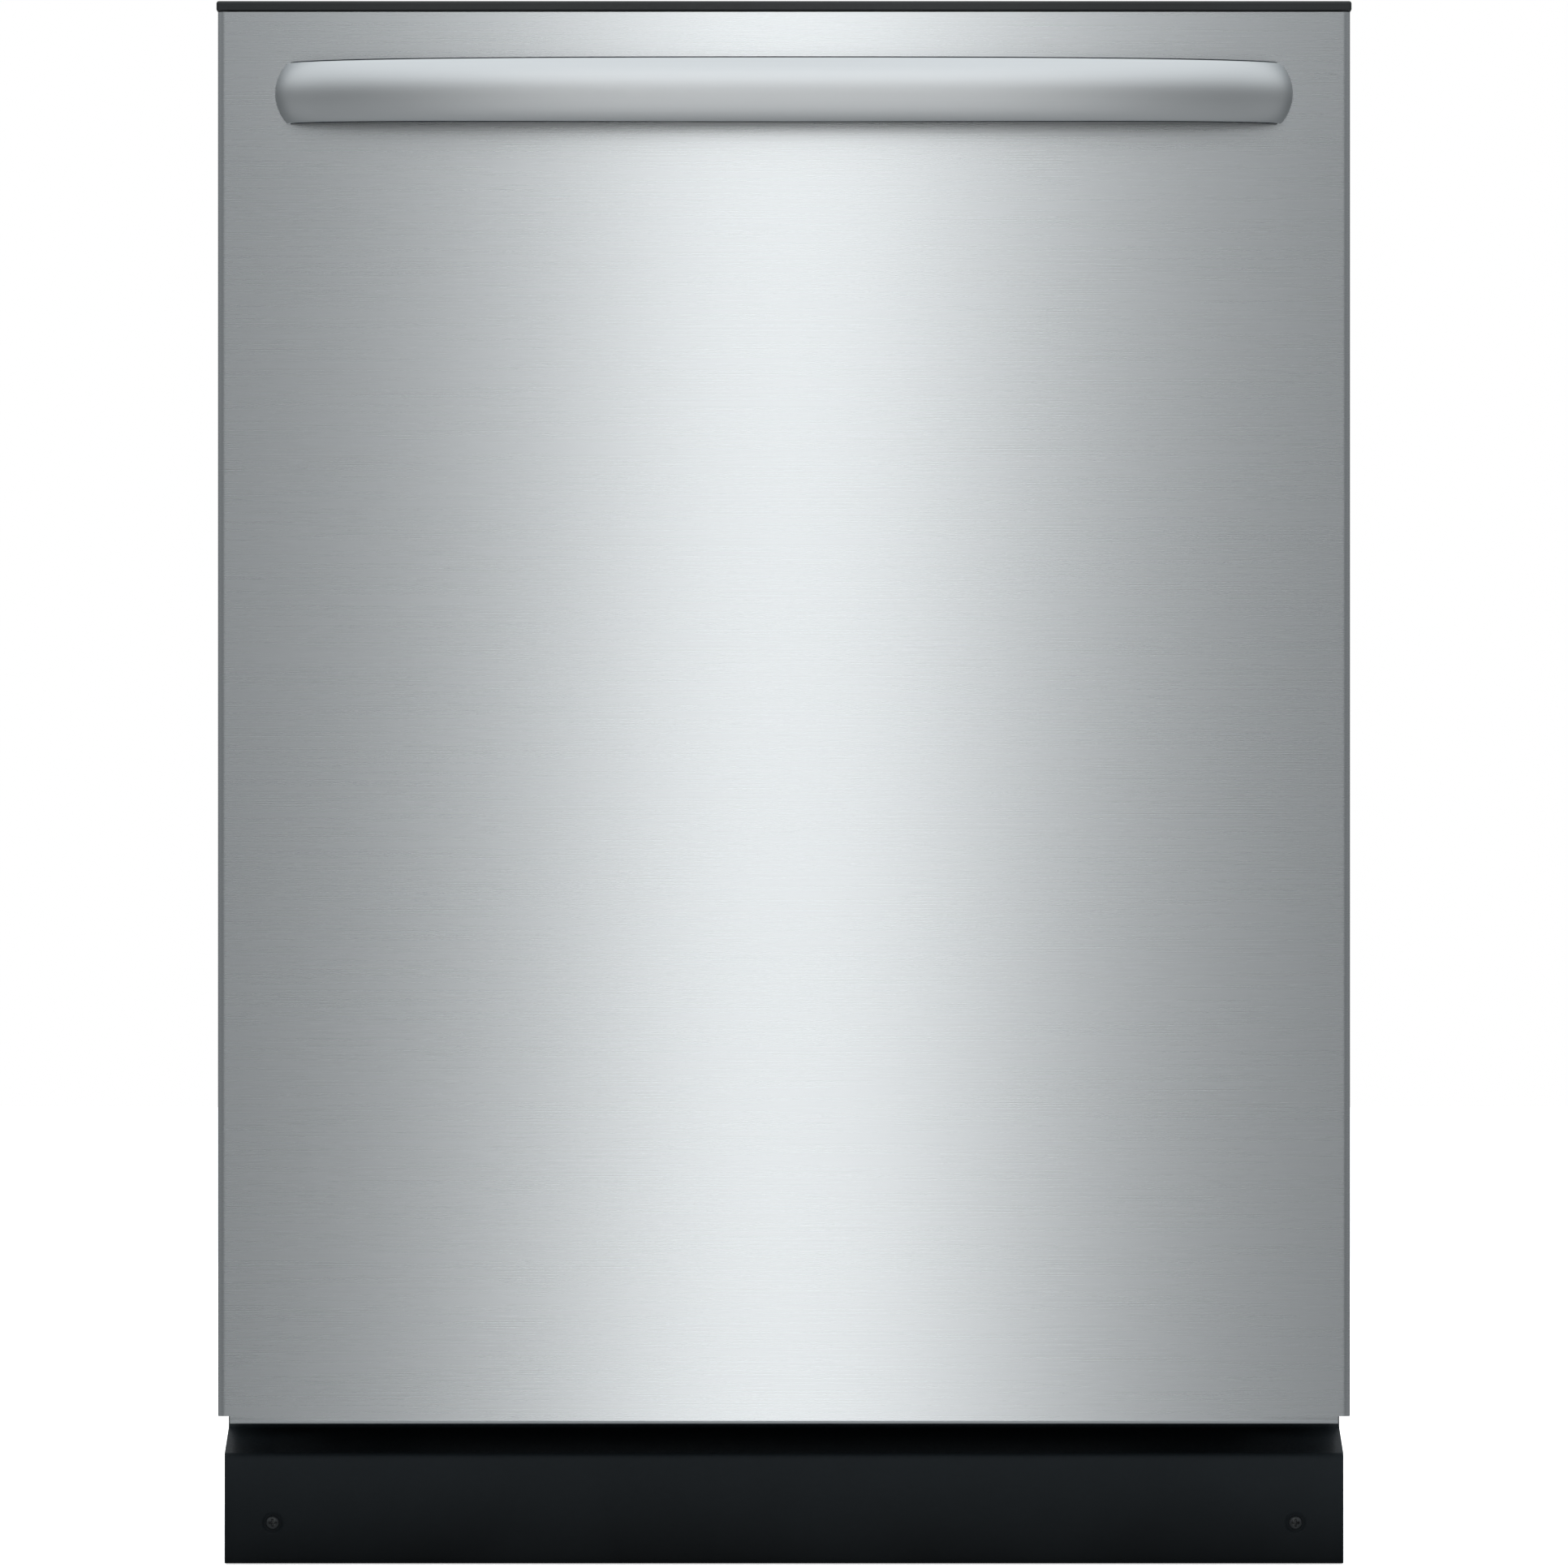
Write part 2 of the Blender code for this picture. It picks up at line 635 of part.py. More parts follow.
def make_upper_rack():
    half, floor_z, rim_z = UPPER_RACK
    thing = wire_basket(half, floor_z, rim_z, 8, 6, 1)
    runners = [((side * 0.2436, side * 0.2640), (-0.189, 0.239), (0.586, 0.599))
               for _, side in SIDES]
    manifold = [((-0.0103, 0.0103), (SPRAY_Y - 0.010, RACK_BACK_Y + 0.003), (0.5340, 0.5507))]
    added = blocks(tines(floor_z, 0.052, (-0.1225,)) + runners + manifold)
    weld_on(thing, added, "MANIFOLD")
    weld_on(thing, rod((0, SPRAY_Y, 0.521), "Z", 0.008, 0.032, 16), "MANIFOLD")
    return finish(thing, "upper_rack", NYLON_WIRE)


def make_rails():
    for side_name, side in SIDES:
        thing = block(sorted((side * 0.256, side * 0.270)), (-0.200, RACK_BACK_Y), (0.578, 0.607))
        cut(thing, block(sorted((side * 0.250, side * 0.2675)), (-0.21, 0.26), (0.5825, 0.6025)))
        finish(thing, f"upper_rail_{side_name}", ZINC)


def make_cup_shelf():
    mesh = bpy.data.meshes.new("shelf")
    form = bmesh.new()
    bmesh.ops.create_grid(form, x_segments=2, y_segments=4, size=1.0)
    placed = Matrix.Translation((0.183, 0.020, 0.662)) @ Matrix.Diagonal((0.053, 0.120, 1, 1))
    bmesh.ops.transform(form, matrix=placed, verts=form.verts)
    form.to_mesh(mesh)
    form.free()
    thing = bpy.data.objects.new("shelf", mesh)
    PARTS.objects.link(thing)
    lattice(thing)
    return finish(thing, "cup_shelf", NYLON_WIRE)


def make_silverware_basket():
    """A four-pocket cutlery basket with a carrying bar over the middle wall."""
    low = LOWER_RACK[1] + WIRE / 2 + 0.0015
    thing = block((0.150, 0.235), (-0.1205, 0.1205), (low, 0.320))
    for pocket in POCKETS_Y:
        cut(thing, block((0.153, 0.232), pocket, (low + 0.003, 0.34)))
    weld_on(thing, block((0.1890, 0.1960), (-0.0035, 0.0015), (0.316, 0.330)))
    weld_on(thing, block((0.1850, 0.2000), (-0.050, 0.050), (0.328, 0.336)))
    return finish(thing, "silverware_basket", GREY_PLASTIC)


# The door

def make_outer_panel():
    """Stainless skin folded back at both sides, with a short lip under its bottom edge."""
    half = DOOR_WIDTH / 2
    thing = tray((-half, half), (SKIN_Y, -0.233), (DOOR_BOTTOM_Z, DOOR_TOP_Z),
                 ((0, 1, 0), (0, 0, 1)), 0.003, SHEET)
    for _, side in SIDES:
        corner = sorted((side * (half - 0.0053), side * (half + 0.01)))
        cut(thing, block(corner, (SKIN_Y - 0.01, -0.22), (0.07, DOOR_BOTTOM_Z + 0.0031)))
    cut(thing, block((-half - 0.01, half + 0.01), (SKIN_Y + 0.0135, -0.22),
                     (0.07, DOOR_BOTTOM_Z + 0.0030)))
    return finish(thing, "door_outer_panel", STEEL)


def make_liner():
    half = 0.299
    thing = tray((-half, half), (-0.260, LINER_Y), (0.084, CONSOLE_BOTTOM_Z - 0.0004),
                 ((0, -1, 0),), 0.004, 0.0015)
    for _, side in SIDES:
        cut(thing, block(sorted((side * 0.278, side * 0.2875)), (-0.265, -0.21), (0.07, 0.140)))
    cut(thing, block((-0.0903, 0.0903), (-0.24, -0.21), (0.4297, 0.5403)))
    return finish(thing, "door_liner", TUB_STEEL)


def make_door_insulation():
    thing = block((-0.270, 0.270), (SKIN_Y + SHEET + 0.0005, -0.2610), (0.110, 0.700), 0.002)
    return finish(thing, "door_insulation", FELT)


def make_console():
    """Moulded cap of the door with the keys in its top face."""
    half = WIDTH / 2
    thing = block((-half, half), (SKIN_Y, LINER_Y - GAP), (DOOR_TOP_Z + GAP, HEIGHT), 0.0012)
    weld_on(thing, block((-0.2985, 0.2985), (-0.2600, -0.2230), (CONSOLE_BOTTOM_Z, 0.8330)))
    cut(thing, block((-0.296, 0.296), (-0.27, -0.2250), (CONSOLE_BOTTOM_Z + 0.0021, 0.8300)))
    cut(thing, block((-0.014, 0.014), (-0.23, -0.21), (0.8165, 0.8275)))
    for x in BUTTON_X:
        cut(thing, block((x - 0.0094, x + 0.0094), (BUTTON_Y - 0.0049, BUTTON_Y + 0.0049),
                         (0.82, 0.85)))
    return finish(thing, "control_console", BLACK_PLASTIC)


def make_buttons():
    for i, x in enumerate(BUTTON_X):
        key = block((x - 0.009, x + 0.009), (BUTTON_Y - 0.0045, BUTTON_Y + 0.0045),
                    (0.8270, HEIGHT), 0.0006)
        weld_on(key, block((x - 0.011, x + 0.011), (BUTTON_Y - 0.0065, BUTTON_Y + 0.0065),
                           (0.8262, 0.8294)))
        finish(key, f"button_{i + 1}", GREY_PLASTIC)


def make_control_board():
    thing = block((-0.235, -0.030), (-0.2585, -0.2290), (0.8125, 0.8141))
    return finish(thing, "control_board", BOARD)


def make_latch():
    """Rocker whose nose presses up under the strike."""
    thing = block((-0.010, 0.010), (-0.2570, -0.2290), (0.8152, 0.8176))
    weld_on(thing, block((-0.009, 0.009), (-0.2370, -0.2300), (0.8160, 0.8206)))
    return finish(thing, "latch_rocker", GREY_PLASTIC)


def handle_section(angle):
    """One crowned section of the bar, square to its bowed path.

    The path is a half oval in plan whose ends meet the door head on. The angle runs
    from 0 at the right end to pi at the left end.
    """
    bow = HANDLE_STANDOFF - HANDLE_CROWN
    flatness = 0.5
    x = (HANDLE_HALF - HANDLE_CROWN) * math.copysign(abs(math.cos(angle)) ** flatness,
                                                     math.cos(angle))
    out = bow * math.sin(angle)
    slope_x = -(HANDLE_HALF - HANDLE_CROWN) * flatness * math.sin(angle) * (
        max(abs(math.cos(angle)), 1e-6) ** (flatness - 1))
    slope_out = bow * math.cos(angle)
    normal = Vector((slope_out, slope_x, 0)).normalized()
    if abs(math.cos(angle)) < 1e-3:
        normal = Vector((0, -1, 0))
    half_height = HANDLE_HALF_HEIGHT - HANDLE_TAPER * (abs(x) / HANDLE_HALF) ** 2
    points = []
    for i in range(7):
        across = math.cos(math.pi * i / 6)
        height = HANDLE_Z + half_height * across
        crown = HANDLE_CROWN * (1 - across * across)
        points.append(Vector((x, SKIN_Y - out, height)) + normal * crown)
    for i in range(7):
        across = -math.cos(math.pi * i / 6)
        height = HANDLE_Z + (half_height - 0.0005) * across
        crown = HANDLE_CROWN * (1 - across * across) - HANDLE_THICKNESS
        points.append(Vector((x, SKIN_Y - out, height)) + normal * crown)
    return points


def make_handle():
    """A bowed, crowned bar: a loft through sections along its path."""
    count = 32
    form = bmesh.new()
    start = math.asin(GAP / (HANDLE_STANDOFF - HANDLE_CROWN))
    rings = []
    for i in range(count + 1):
        angle = start + (math.pi - 2 * start) * i / count
        rings.append([form.verts.new(point) for point in handle_section(angle)])
    size = len(rings[0])
    for ring, following in zip(rings, rings[1:]):
        for i in range(size):
            j = (i + 1) % size
            form.faces.new((ring[i], ring[j], following[j], following[i]))
    form.faces.new(list(reversed(rings[0])))
    form.faces.new(rings[-1])
    bmesh.ops.recalc_face_normals(form, faces=form.faces)
    mesh = bpy.data.meshes.new("handle")
    form.to_mesh(mesh)
    form.free()
    thing = bpy.data.objects.new("handle", mesh)
    PARTS.objects.link(thing)
    round_shading(thing)
    return finish(thing, "handle_bar", STEEL)


def make_dispenser():
    """Detergent and rinse-aid dispenser let into the liner."""
    thing = block((-0.090, 0.090), (-0.245, -0.2205), (0.430, 0.540))
    weld_on(thing, block((-0.097, 0.097), (LINER_Y + GAP, -0.2190), (0.423, 0.547)))
    cut(thing, block((-0.005, 0.050), (-0.240, -0.21), (0.450, 0.520)))
    finish(thing, "dispenser_housing", GREY_PLASTIC)
    lid = block((-0.010, 0.055), (-0.2187, -0.2162), (0.446, 0.524), 0.0008)
    finish(lid, "detergent_lid", GREY_PLASTIC)
    cap = rod((0.074, -0.2175, 0.485), "Y", 0.014, 0.0024, 20)
    weld_on(cap, block((0.0720, 0.0760), (-0.2170, -0.2150), (0.474, 0.496)))
    finish(cap, "rinse_aid_cap", GREY_PLASTIC)


def make_hinge_arms():
    """Arms inside the door that turn on the frame's pins."""
    for side_name, side in SIDES:
        outline = circle((HINGE_Y, HINGE_Z), 0.0105, 12, math.pi, math.pi)
        outline += [(HINGE_Y + 0.0105, 0.300), (HINGE_Y - 0.0105, 0.300)]
        hole = circle((HINGE_Y, HINGE_Z), HINGE_PIN_RADIUS + 0.0003, 16)
        low, high = sorted((side * 0.2832, side * 0.2862))
        arm = to_mesh(plate([outline, hole], "YZ", low, high))
        finish(arm, f"hinge_arm_{side_name}", ZINC)


def build():
    make_tub()
    make_gasket()
    make_front_frame()
    make_base_frame()
    make_feet()
    make_crossmember()
    make_blanket()
    make_mounting_brackets()
    make_strike()
    make_hinge_brackets()
    make_springs()
    make_kick_panel()
    make_kick_screws()
    make_sump()
    make_filter()
    make_spray_arm("lower_spray_arm", LOWER_ARM_REACH, 0.152, (0.026, 0.0168, 0.147, 0.1758, 0.182),
                   GREY_PLASTIC)
    make_spray_arm("middle_spray_arm", MIDDLE_ARM_REACH, 0.512, (0.018, 0.0086, 0.508, 0.60, 0.528),
                   GREY_PLASTIC)
    make_heater()
    make_float()
    make_feed_tube()
    make_pumps()
    make_drain_hose()
    make_inlet_valve()
    make_junction_box()
    make_lower_rack()
    make_wheels()
    make_upper_rack()
    make_rails()
    make_cup_shelf()
    make_silverware_basket()
    make_outer_panel()
    make_liner()
    make_door_insulation()
    make_console()
    make_buttons()
    make_control_board()
    make_latch()
    make_handle()
    make_dispenser()
    make_hinge_arms()


build()
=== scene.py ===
import bpy
import numpy as np
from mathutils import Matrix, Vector


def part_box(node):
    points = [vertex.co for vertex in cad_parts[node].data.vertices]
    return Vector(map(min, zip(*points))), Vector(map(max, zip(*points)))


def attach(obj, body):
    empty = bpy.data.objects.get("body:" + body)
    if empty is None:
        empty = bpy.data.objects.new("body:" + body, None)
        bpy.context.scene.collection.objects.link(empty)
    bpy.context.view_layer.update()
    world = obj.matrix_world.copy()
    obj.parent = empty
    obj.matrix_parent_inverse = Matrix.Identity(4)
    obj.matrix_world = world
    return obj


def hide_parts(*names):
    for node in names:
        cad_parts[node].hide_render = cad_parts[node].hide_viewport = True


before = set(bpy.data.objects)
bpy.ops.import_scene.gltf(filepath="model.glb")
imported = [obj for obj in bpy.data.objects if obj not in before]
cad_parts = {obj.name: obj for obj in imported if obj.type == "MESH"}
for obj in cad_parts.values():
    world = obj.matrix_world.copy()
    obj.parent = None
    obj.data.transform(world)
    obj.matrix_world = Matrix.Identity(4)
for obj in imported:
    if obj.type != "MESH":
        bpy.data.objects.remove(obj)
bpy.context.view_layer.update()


# The room: a pale floor, even grey light that is stronger from above and weaker
# from the sides, and one tall strip light in front of the door, which brushed
# steel draws out into a soft upright band.

class Strand:
    """A value on its way through a node tree. Arithmetic on it adds Math nodes."""

    def __init__(self, nodes, socket):
        self.nodes = nodes
        self.socket = socket

    def math(self, operation, first, second=0.0):
        return self.nodes.node("ShaderNodeMath", {"operation": operation}, {0: first, 1: second})

    def __add__(self, other):
        return self.math("ADD", self, other)

    __radd__ = __add__

    def __mul__(self, other):
        return self.math("MULTIPLY", self, other)

    __rmul__ = __mul__

    def __sub__(self, other):
        return self.math("SUBTRACT", self, other)

    def __rsub__(self, other):
        return self.math("SUBTRACT", other, self)

    def __abs__(self):
        return self.math("ABSOLUTE", self)

    def wave(self):
        return self.math("SINE", self)

    def most(self, other):
        return self.math("MAXIMUM", self, other)

    def root(self):
        return self.math("SQRT", self)


class Nodes:
    """A node tree that is built with one call for each node."""

    def __init__(self, tree):
        self.tree = tree

    def node(self, kind, settings=None, inputs=None, output=0):
        """Adds a node: its type, its settings, then the values or strands of its sockets."""
        made = self.tree.nodes.new(kind)
        for key, value in (settings or {}).items():
            setattr(made, key, value)
        for key, value in (inputs or {}).items():
            if isinstance(value, Strand):
                self.tree.links.new(value.socket, made.inputs[key])
            else:
                made.inputs[key].default_value = value
        return Strand(self, made.outputs[output])

    def ramp(self, value, low, high, start=0.0, end=1.0):
        """start up to low, end from high on, and an even climb between them."""
        return self.node("ShaderNodeMapRange", {"clamp": True},
                         {"Value": value, "From Min": low, "From Max": high,
                          "To Min": start, "To Max": end})

    def split(self, vector):
        parts = self.node("ShaderNodeSeparateXYZ", {}, {0: vector}).socket.node
        return [Strand(self, socket) for socket in parts.outputs]


def pale_floor():
    mesh = bpy.data.meshes.new("floor")
    mesh.from_pydata([(-9, -9, 0), (9, -9, 0), (9, 9, 0), (-9, 9, 0)], [], [(0, 1, 2, 3)])
    floor = bpy.data.objects.new("floor", mesh)
    bpy.context.scene.collection.objects.link(floor)
    floor.visible_glossy = False
    paper = bpy.data.materials.new("pale_floor")
    paper.use_nodes = True
    shader = paper.node_tree.nodes["Principled BSDF"]
    shader.inputs["Base Color"].default_value = (0.85, 0.85, 0.85, 1)
    shader.inputs["Roughness"].default_value = 1.0
    shader.inputs["Emission Color"].default_value = (1, 1, 1, 1)
    shader.inputs["Emission Strength"].default_value = 0.62
    mesh.materials.append(paper)


def softbox(name, width, height, place, aim, watts, glossy=True):
    """A rectangular area light at place, facing aim, unseen by the camera."""
    light = bpy.data.lights.new(name, "AREA")
    light.shape = "RECTANGLE"
    light.size, light.size_y = width, height
    light.energy = watts
    lamp = bpy.data.objects.new(name, light)
    lamp.location = place
    lamp.rotation_euler = (Vector(aim) - Vector(place)).to_track_quat("-Z", "Y").to_euler()
    lamp.visible_camera = False
    lamp.visible_glossy = glossy
    bpy.context.scene.collection.objects.link(lamp)


pale_floor()
softbox("strip_front", 0.20, 3.4, (0, -1.75, 0.55), (0, 0, 0.55), 5.15)
softbox("overhead", 3.0, 2.2, (0, -0.9, 3.0), (0, 0, 0.0), 60.0, glossy=False)
softbox("side_left", 1.2, 2.0, (-3.2, -1.2, 1.6), (0, 0, 0.4), 22.0, glossy=False)
softbox("side_right", 1.2, 2.0, (3.2, -1.2, 1.6), (0, 0, 0.4), 22.0, glossy=False)
softbox("back", 2.0, 2.0, (0.8, 3.2, 1.8), (0, 0, 0.4), 45.0, glossy=False)

world = bpy.data.worlds.new("studio")
bpy.context.scene.world = world
world.use_nodes = True
room = Nodes(world.node_tree)
way_x, _, way_z = room.split(room.node("ShaderNodeTexCoord", output="Generated"))
upward = room.ramp(way_z, -0.60, 0.0, 0.40, 0.205) + room.ramp(way_z, 0.05, 0.70, 0.0, 0.90)
strength = upward * (1.0 - 0.55 * (way_x * way_x) + room.ramp(abs(way_x), 0.60, 0.95, 0.0, 0.6))
seen = room.node("ShaderNodeLightPath", output="Is Camera Ray")
around = room.node("ShaderNodeBackground", {}, {"Color": (0.93, 0.97, 1.0, 1), "Strength": strength})
backdrop = room.node("ShaderNodeBackground", {}, {"Color": (1, 1, 1, 1), "Strength": 1.0})
mixed = room.node("ShaderNodeMixShader", {}, {0: seen, 1: around, 2: backdrop})
world.node_tree.links.new(mixed.socket, world.node_tree.nodes["World Output"].inputs["Surface"])

skin_low, skin_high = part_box("door_outer_panel")
view_distance = 6.5
view_width = 0.8383
view_height = 0.4193
lens = bpy.data.cameras.new("camera")
lens.sensor_width = 36.0
lens.lens = lens.sensor_width * view_distance / view_width
lens.clip_end = 100.0
camera = bpy.data.objects.new("camera", lens)
camera.location = (0.0, skin_low[1] - view_distance, view_height)
camera.rotation_euler = (np.pi / 2, 0.0, 0.0)
bpy.context.scene.collection.objects.link(camera)
bpy.context.scene.camera = camera
bpy.context.scene.view_settings.view_transform = "Standard"


# Base and frame: pressed from zinc-coated steel sheet, spot welded. The zinc
# shows its frosty crystals. Brackets, strike, hinge plates and the cable box
# are cut from the same sheet.

class Finish(Nodes):
    """A Principled material whose varying inputs are fed by strands."""

    def __init__(self, name, **constants):
        self.material = bpy.data.materials.new(name)
        self.material.use_nodes = True
        super().__init__(self.material.node_tree)
        self.shader = self.tree.nodes["Principled BSDF"]
        for key, value in constants.items():
            socket = self.shader.inputs[key.replace("_", " ")]
            socket.default_value = (*value, 1.0) if isinstance(value, tuple) else value

    def place(self, scale=(1, 1, 1), shift=(0, 0, 0)):
        """Object coordinates, shifted and stretched."""
        where = self.node("ShaderNodeTexCoord", output="Object")
        return self.node("ShaderNodeMapping", {}, {"Vector": where, "Scale": scale, "Location": shift})

    def noise(self, scale, detail=2.0, roughness=0.5, stretch=(1, 1, 1)):
        return self.node("ShaderNodeTexNoise", {}, {"Vector": self.place(stretch), "Scale": scale,
                                                    "Detail": detail, "Roughness": roughness})

    def cells(self, scale):
        """A random colour for each cell."""
        made = self.node("ShaderNodeTexVoronoi", {}, {"Vector": self.place(), "Scale": scale})
        return Strand(self, made.socket.node.outputs["Color"])

    def mix(self, share, first, second):
        """A colour between two, each three numbers or a strand."""
        node = self.node("ShaderNodeMix", {"data_type": "RGBA"}, {"Factor": share}).socket.node
        inputs = [socket for socket in node.inputs if socket.type == "RGBA"]
        for socket, colour in zip(inputs, (first, second)):
            if isinstance(colour, Strand):
                self.tree.links.new(colour.socket, socket)
            else:
                socket.default_value = (*colour, 1.0)
        return Strand(self, [socket for socket in node.outputs if socket.type == "RGBA"][0])

    def feed(self, **strands):
        """Links strands to the shader: colour, roughness or metallic."""
        names = {"colour": "Base Color", "roughness": "Roughness", "metallic": "Metallic"}
        for key, strand in strands.items():
            self.tree.links.new(strand.socket, self.shader.inputs[names[key]])

    def bump(self, height, distance, strength=1.0):
        raised = self.node("ShaderNodeBump", {}, {"Height": height, "Distance": distance,
                                                  "Strength": strength})
        self.tree.links.new(raised.socket, self.shader.inputs["Normal"])


def dress(finish, *names):
    """Gives CAD nodes a material."""
    for name in names:
        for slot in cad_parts[name].material_slots:
            slot.material = finish.material


zinc = Finish("zinc_coated_steel", Metallic=1.0)
crystal_tone = zinc.split(zinc.cells(90.0))[0]
zinc_grey = crystal_tone * 0.30 + zinc.noise(14.0, 3.0) * 0.70
zinc.feed(colour=zinc.mix(zinc.ramp(zinc_grey, 0.25, 0.75), (0.50, 0.52, 0.54), (0.64, 0.66, 0.68)),
          roughness=zinc.ramp(crystal_tone, 0.0, 1.0, 0.36, 0.44))
zinc.bump(zinc.noise(260.0, 2.0), 0.0001, 0.25)
dress(zinc, "base_frame", "front_frame", "front_crossmember", "mounting_bracket_left",
      "mounting_bracket_right", "door_strike", "hinge_bracket_left", "hinge_bracket_right",
      "junction_box", "hinge_arm_left", "hinge_arm_right")


# Levelling feet: rolled threads of zinc-plated steel, M10, with a hexagon to
# turn and a round pad pressed on below.

def sheet(grid, around=True, ends=True, loop=False, keep=None):
    """Points and faces of a grid of points, rows by columns, one face to each cell.

    around joins the last column to the first and loop the last row to the first. ends
    closes the first and last rows with triangles to their middles. keep leaves out cells.
    A closed form whose volume comes out negative is turned the right way out.
    """
    rows, columns = grid.shape[:2]
    index = np.arange(rows * columns).reshape(rows, columns)
    across = np.concatenate([index, index[:, :1]], axis=1) if around else index
    down = np.concatenate([across, across[:1]], axis=0) if loop else across
    cells = np.stack([down[:-1, :-1], down[:-1, 1:], down[1:, 1:], down[1:, :-1]], axis=-1)
    faces = cells[keep] if keep is not None else cells.reshape(-1, 4)
    points = grid.reshape(-1, 3)
    caps = np.zeros((0, 3), int)
    if ends:
        middles = np.stack([grid[0].mean(axis=0), grid[-1].mean(axis=0)])
        first = np.full(across.shape[1] - 1, len(points))
        points = np.concatenate([points, middles])
        caps = np.concatenate([np.stack([first, across[0, 1:], across[0, :-1]], axis=1),
                               np.stack([first + 1, across[-1, :-1], across[-1, 1:]], axis=1)])
    if around and (ends or loop):
        corners = points - points.mean(axis=0)
        halves = np.concatenate([faces[:, :3], faces[:, [0, 2, 3]], caps])
        a, b, c = corners[halves[:, 0]], corners[halves[:, 1]], corners[halves[:, 2]]
        if np.sum(a * np.cross(b, c)) < 0:
            faces, caps = faces[:, ::-1], caps[:, ::-1]
    used, tidy = np.unique(np.concatenate([faces.ravel(), caps.ravel()]), return_inverse=True)
    return (points[used], tidy[:faces.size].reshape(-1, 4).tolist(),
            tidy[faces.size:].reshape(-1, 3).tolist())


def made(name, *sheets, smooth=40.0):
    """One mesh of several sheets, shaded smooth but for edges sharper than smooth."""
    points, faces, count = [], [], 0
    for place, quads, triangles in sheets:
        points.append(place)
        faces += [[count + i for i in face] for face in quads + triangles]
        count += len(place)
    mesh = bpy.data.meshes.new(name)
    mesh.from_pydata(np.concatenate(points).tolist(), [], faces)
    mesh.update()
    mesh.shade_smooth()
    mesh.set_sharp_from_angle(angle=np.radians(smooth))
    return mesh


def fit(mesh, body, finish, slot, *nodes):
    """Puts a mesh on a body with its finish, in place of CAD nodes."""
    piece = bpy.data.objects.new(mesh.name, mesh)
    bpy.context.scene.collection.objects.link(piece)
    mesh.materials.append(finish.material)
    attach(piece, body)
    if nodes:
        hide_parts(*nodes)
    return piece


def full_turn(count):
    return np.linspace(0, 2 * np.pi, count, endpoint=False)


def signed_power(value, power):
    return np.sign(value) * np.abs(value) ** power


def spun(profile, centre, axis="Z", columns=48):
    """Grid of a profile of (radius, distance along the axis) turned about the axis."""
    profile = np.asarray(profile, float)
    turn = full_turn(columns)
    one = profile[:, :1] * np.cos(turn)
    two = profile[:, :1] * np.sin(turn)
    along = np.broadcast_to(profile[:, 1:], one.shape)
    order = {"Z": (one, two, along), "X": (along, one, two), "Y": (two, along, one)}[axis]
    return np.stack(order, axis=-1) + np.asarray(centre, float)


def threaded_stem(centre, low, high, radius, pitch, depth):
    """A rod whose radius falls by depth in a sharpened sine that climbs pitch each turn."""
    rows = int((high - low) / pitch * 8) + 1
    height = np.linspace(low, high, rows)[:, None]
    turn = full_turn(24)[None, :]
    phase = 2 * np.pi * height / pitch - turn
    cut = depth * (0.5 - 0.5 * np.cos(phase)) ** 0.8
    ends = np.minimum(1, np.minimum(height - low, high - height) / pitch)
    reach = radius - depth * (1 - ends) - cut * ends
    return np.stack([centre[0] + reach * np.cos(turn), centre[1] + reach * np.sin(turn),
                     height + 0 * turn], axis=-1)


def clouded(name, scale, detail, dark, light, polished, dull, edges=(0.3, 0.7), **constants):
    """A finish whose colour and roughness both follow one slow noise."""
    finish = Finish(name, **constants)
    cloud = finish.noise(scale, detail)
    finish.feed(colour=finish.mix(finish.ramp(cloud, *edges), dark, light),
                roughness=finish.ramp(cloud, *edges, polished, dull))
    return finish


plated = clouded("plated_screw_steel", 60.0, 3.0, (0.50, 0.50, 0.48), (0.68, 0.68, 0.66), 0.26, 0.40,
                 Metallic=1.0)

for foot in ("front_left", "front_right", "rear_left", "rear_right"):
    node = f"leveling_foot_{foot}"
    low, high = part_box(node)
    centre = ((low[0] + high[0]) / 2, (low[1] + high[1]) / 2, 0)
    stem = threaded_stem(centre, 0.0142, high[2], 0.0050, 0.0015, 0.0006)
    hexagon = spun([(0.0080, 0.0062), (0.0108, 0.0068), (0.0108, 0.0132), (0.0085, 0.0142)], centre,
                   columns=6)
    pad = spun([(0.0165, 0.0), (0.0178, 0.0008), (0.0180, 0.0022), (0.0170, 0.0040), (0.0112, 0.0060),
                (0.0060, 0.0066)], centre)
    fit(made(node + "_thread", sheet(stem), sheet(hexagon), sheet(pad), smooth=50.0),
        node, plated, "zinc_steel", node)


# Tub: one deep-drawn box of stainless sheet with wide rounded corners and a
# rolled flange at the mouth. It has the soft even shine of rolled steel.

def rounded_rectangle(low, high, radius, spacing=0.02, steps=6):
    """Points round a rectangle in a plane, anticlockwise, its corners quarter circles."""
    low, high = np.asarray(low, float), np.asarray(high, float)
    points = []
    quarter = np.radians(np.linspace(0, 90, steps + 1))
    turns = ((high[0], low[1], -90), (high[0], high[1], 0), (low[0], high[1], 90), (low[0], low[1], 180))
    for x, y, start in turns:
        angle = np.radians(start) + quarter
        inner = (x + (radius if x == low[0] else -radius), y + (radius if y == low[1] else -radius))
        points.append(np.stack([inner[0] + radius * np.cos(angle),
                                inner[1] + radius * np.sin(angle)], axis=1))
    ring = []
    for here, following in zip(points, points[1:] + points[:1]):
        ring.append(here)
        gap = np.linalg.norm(following[0] - here[-1])
        count = max(1, int(round(gap / spacing)))
        share = np.linspace(0, 1, count + 1)[1:-1, None]
        ring.append(here[-1] * (1 - share) + following[0] * share)
    return np.concatenate(ring)


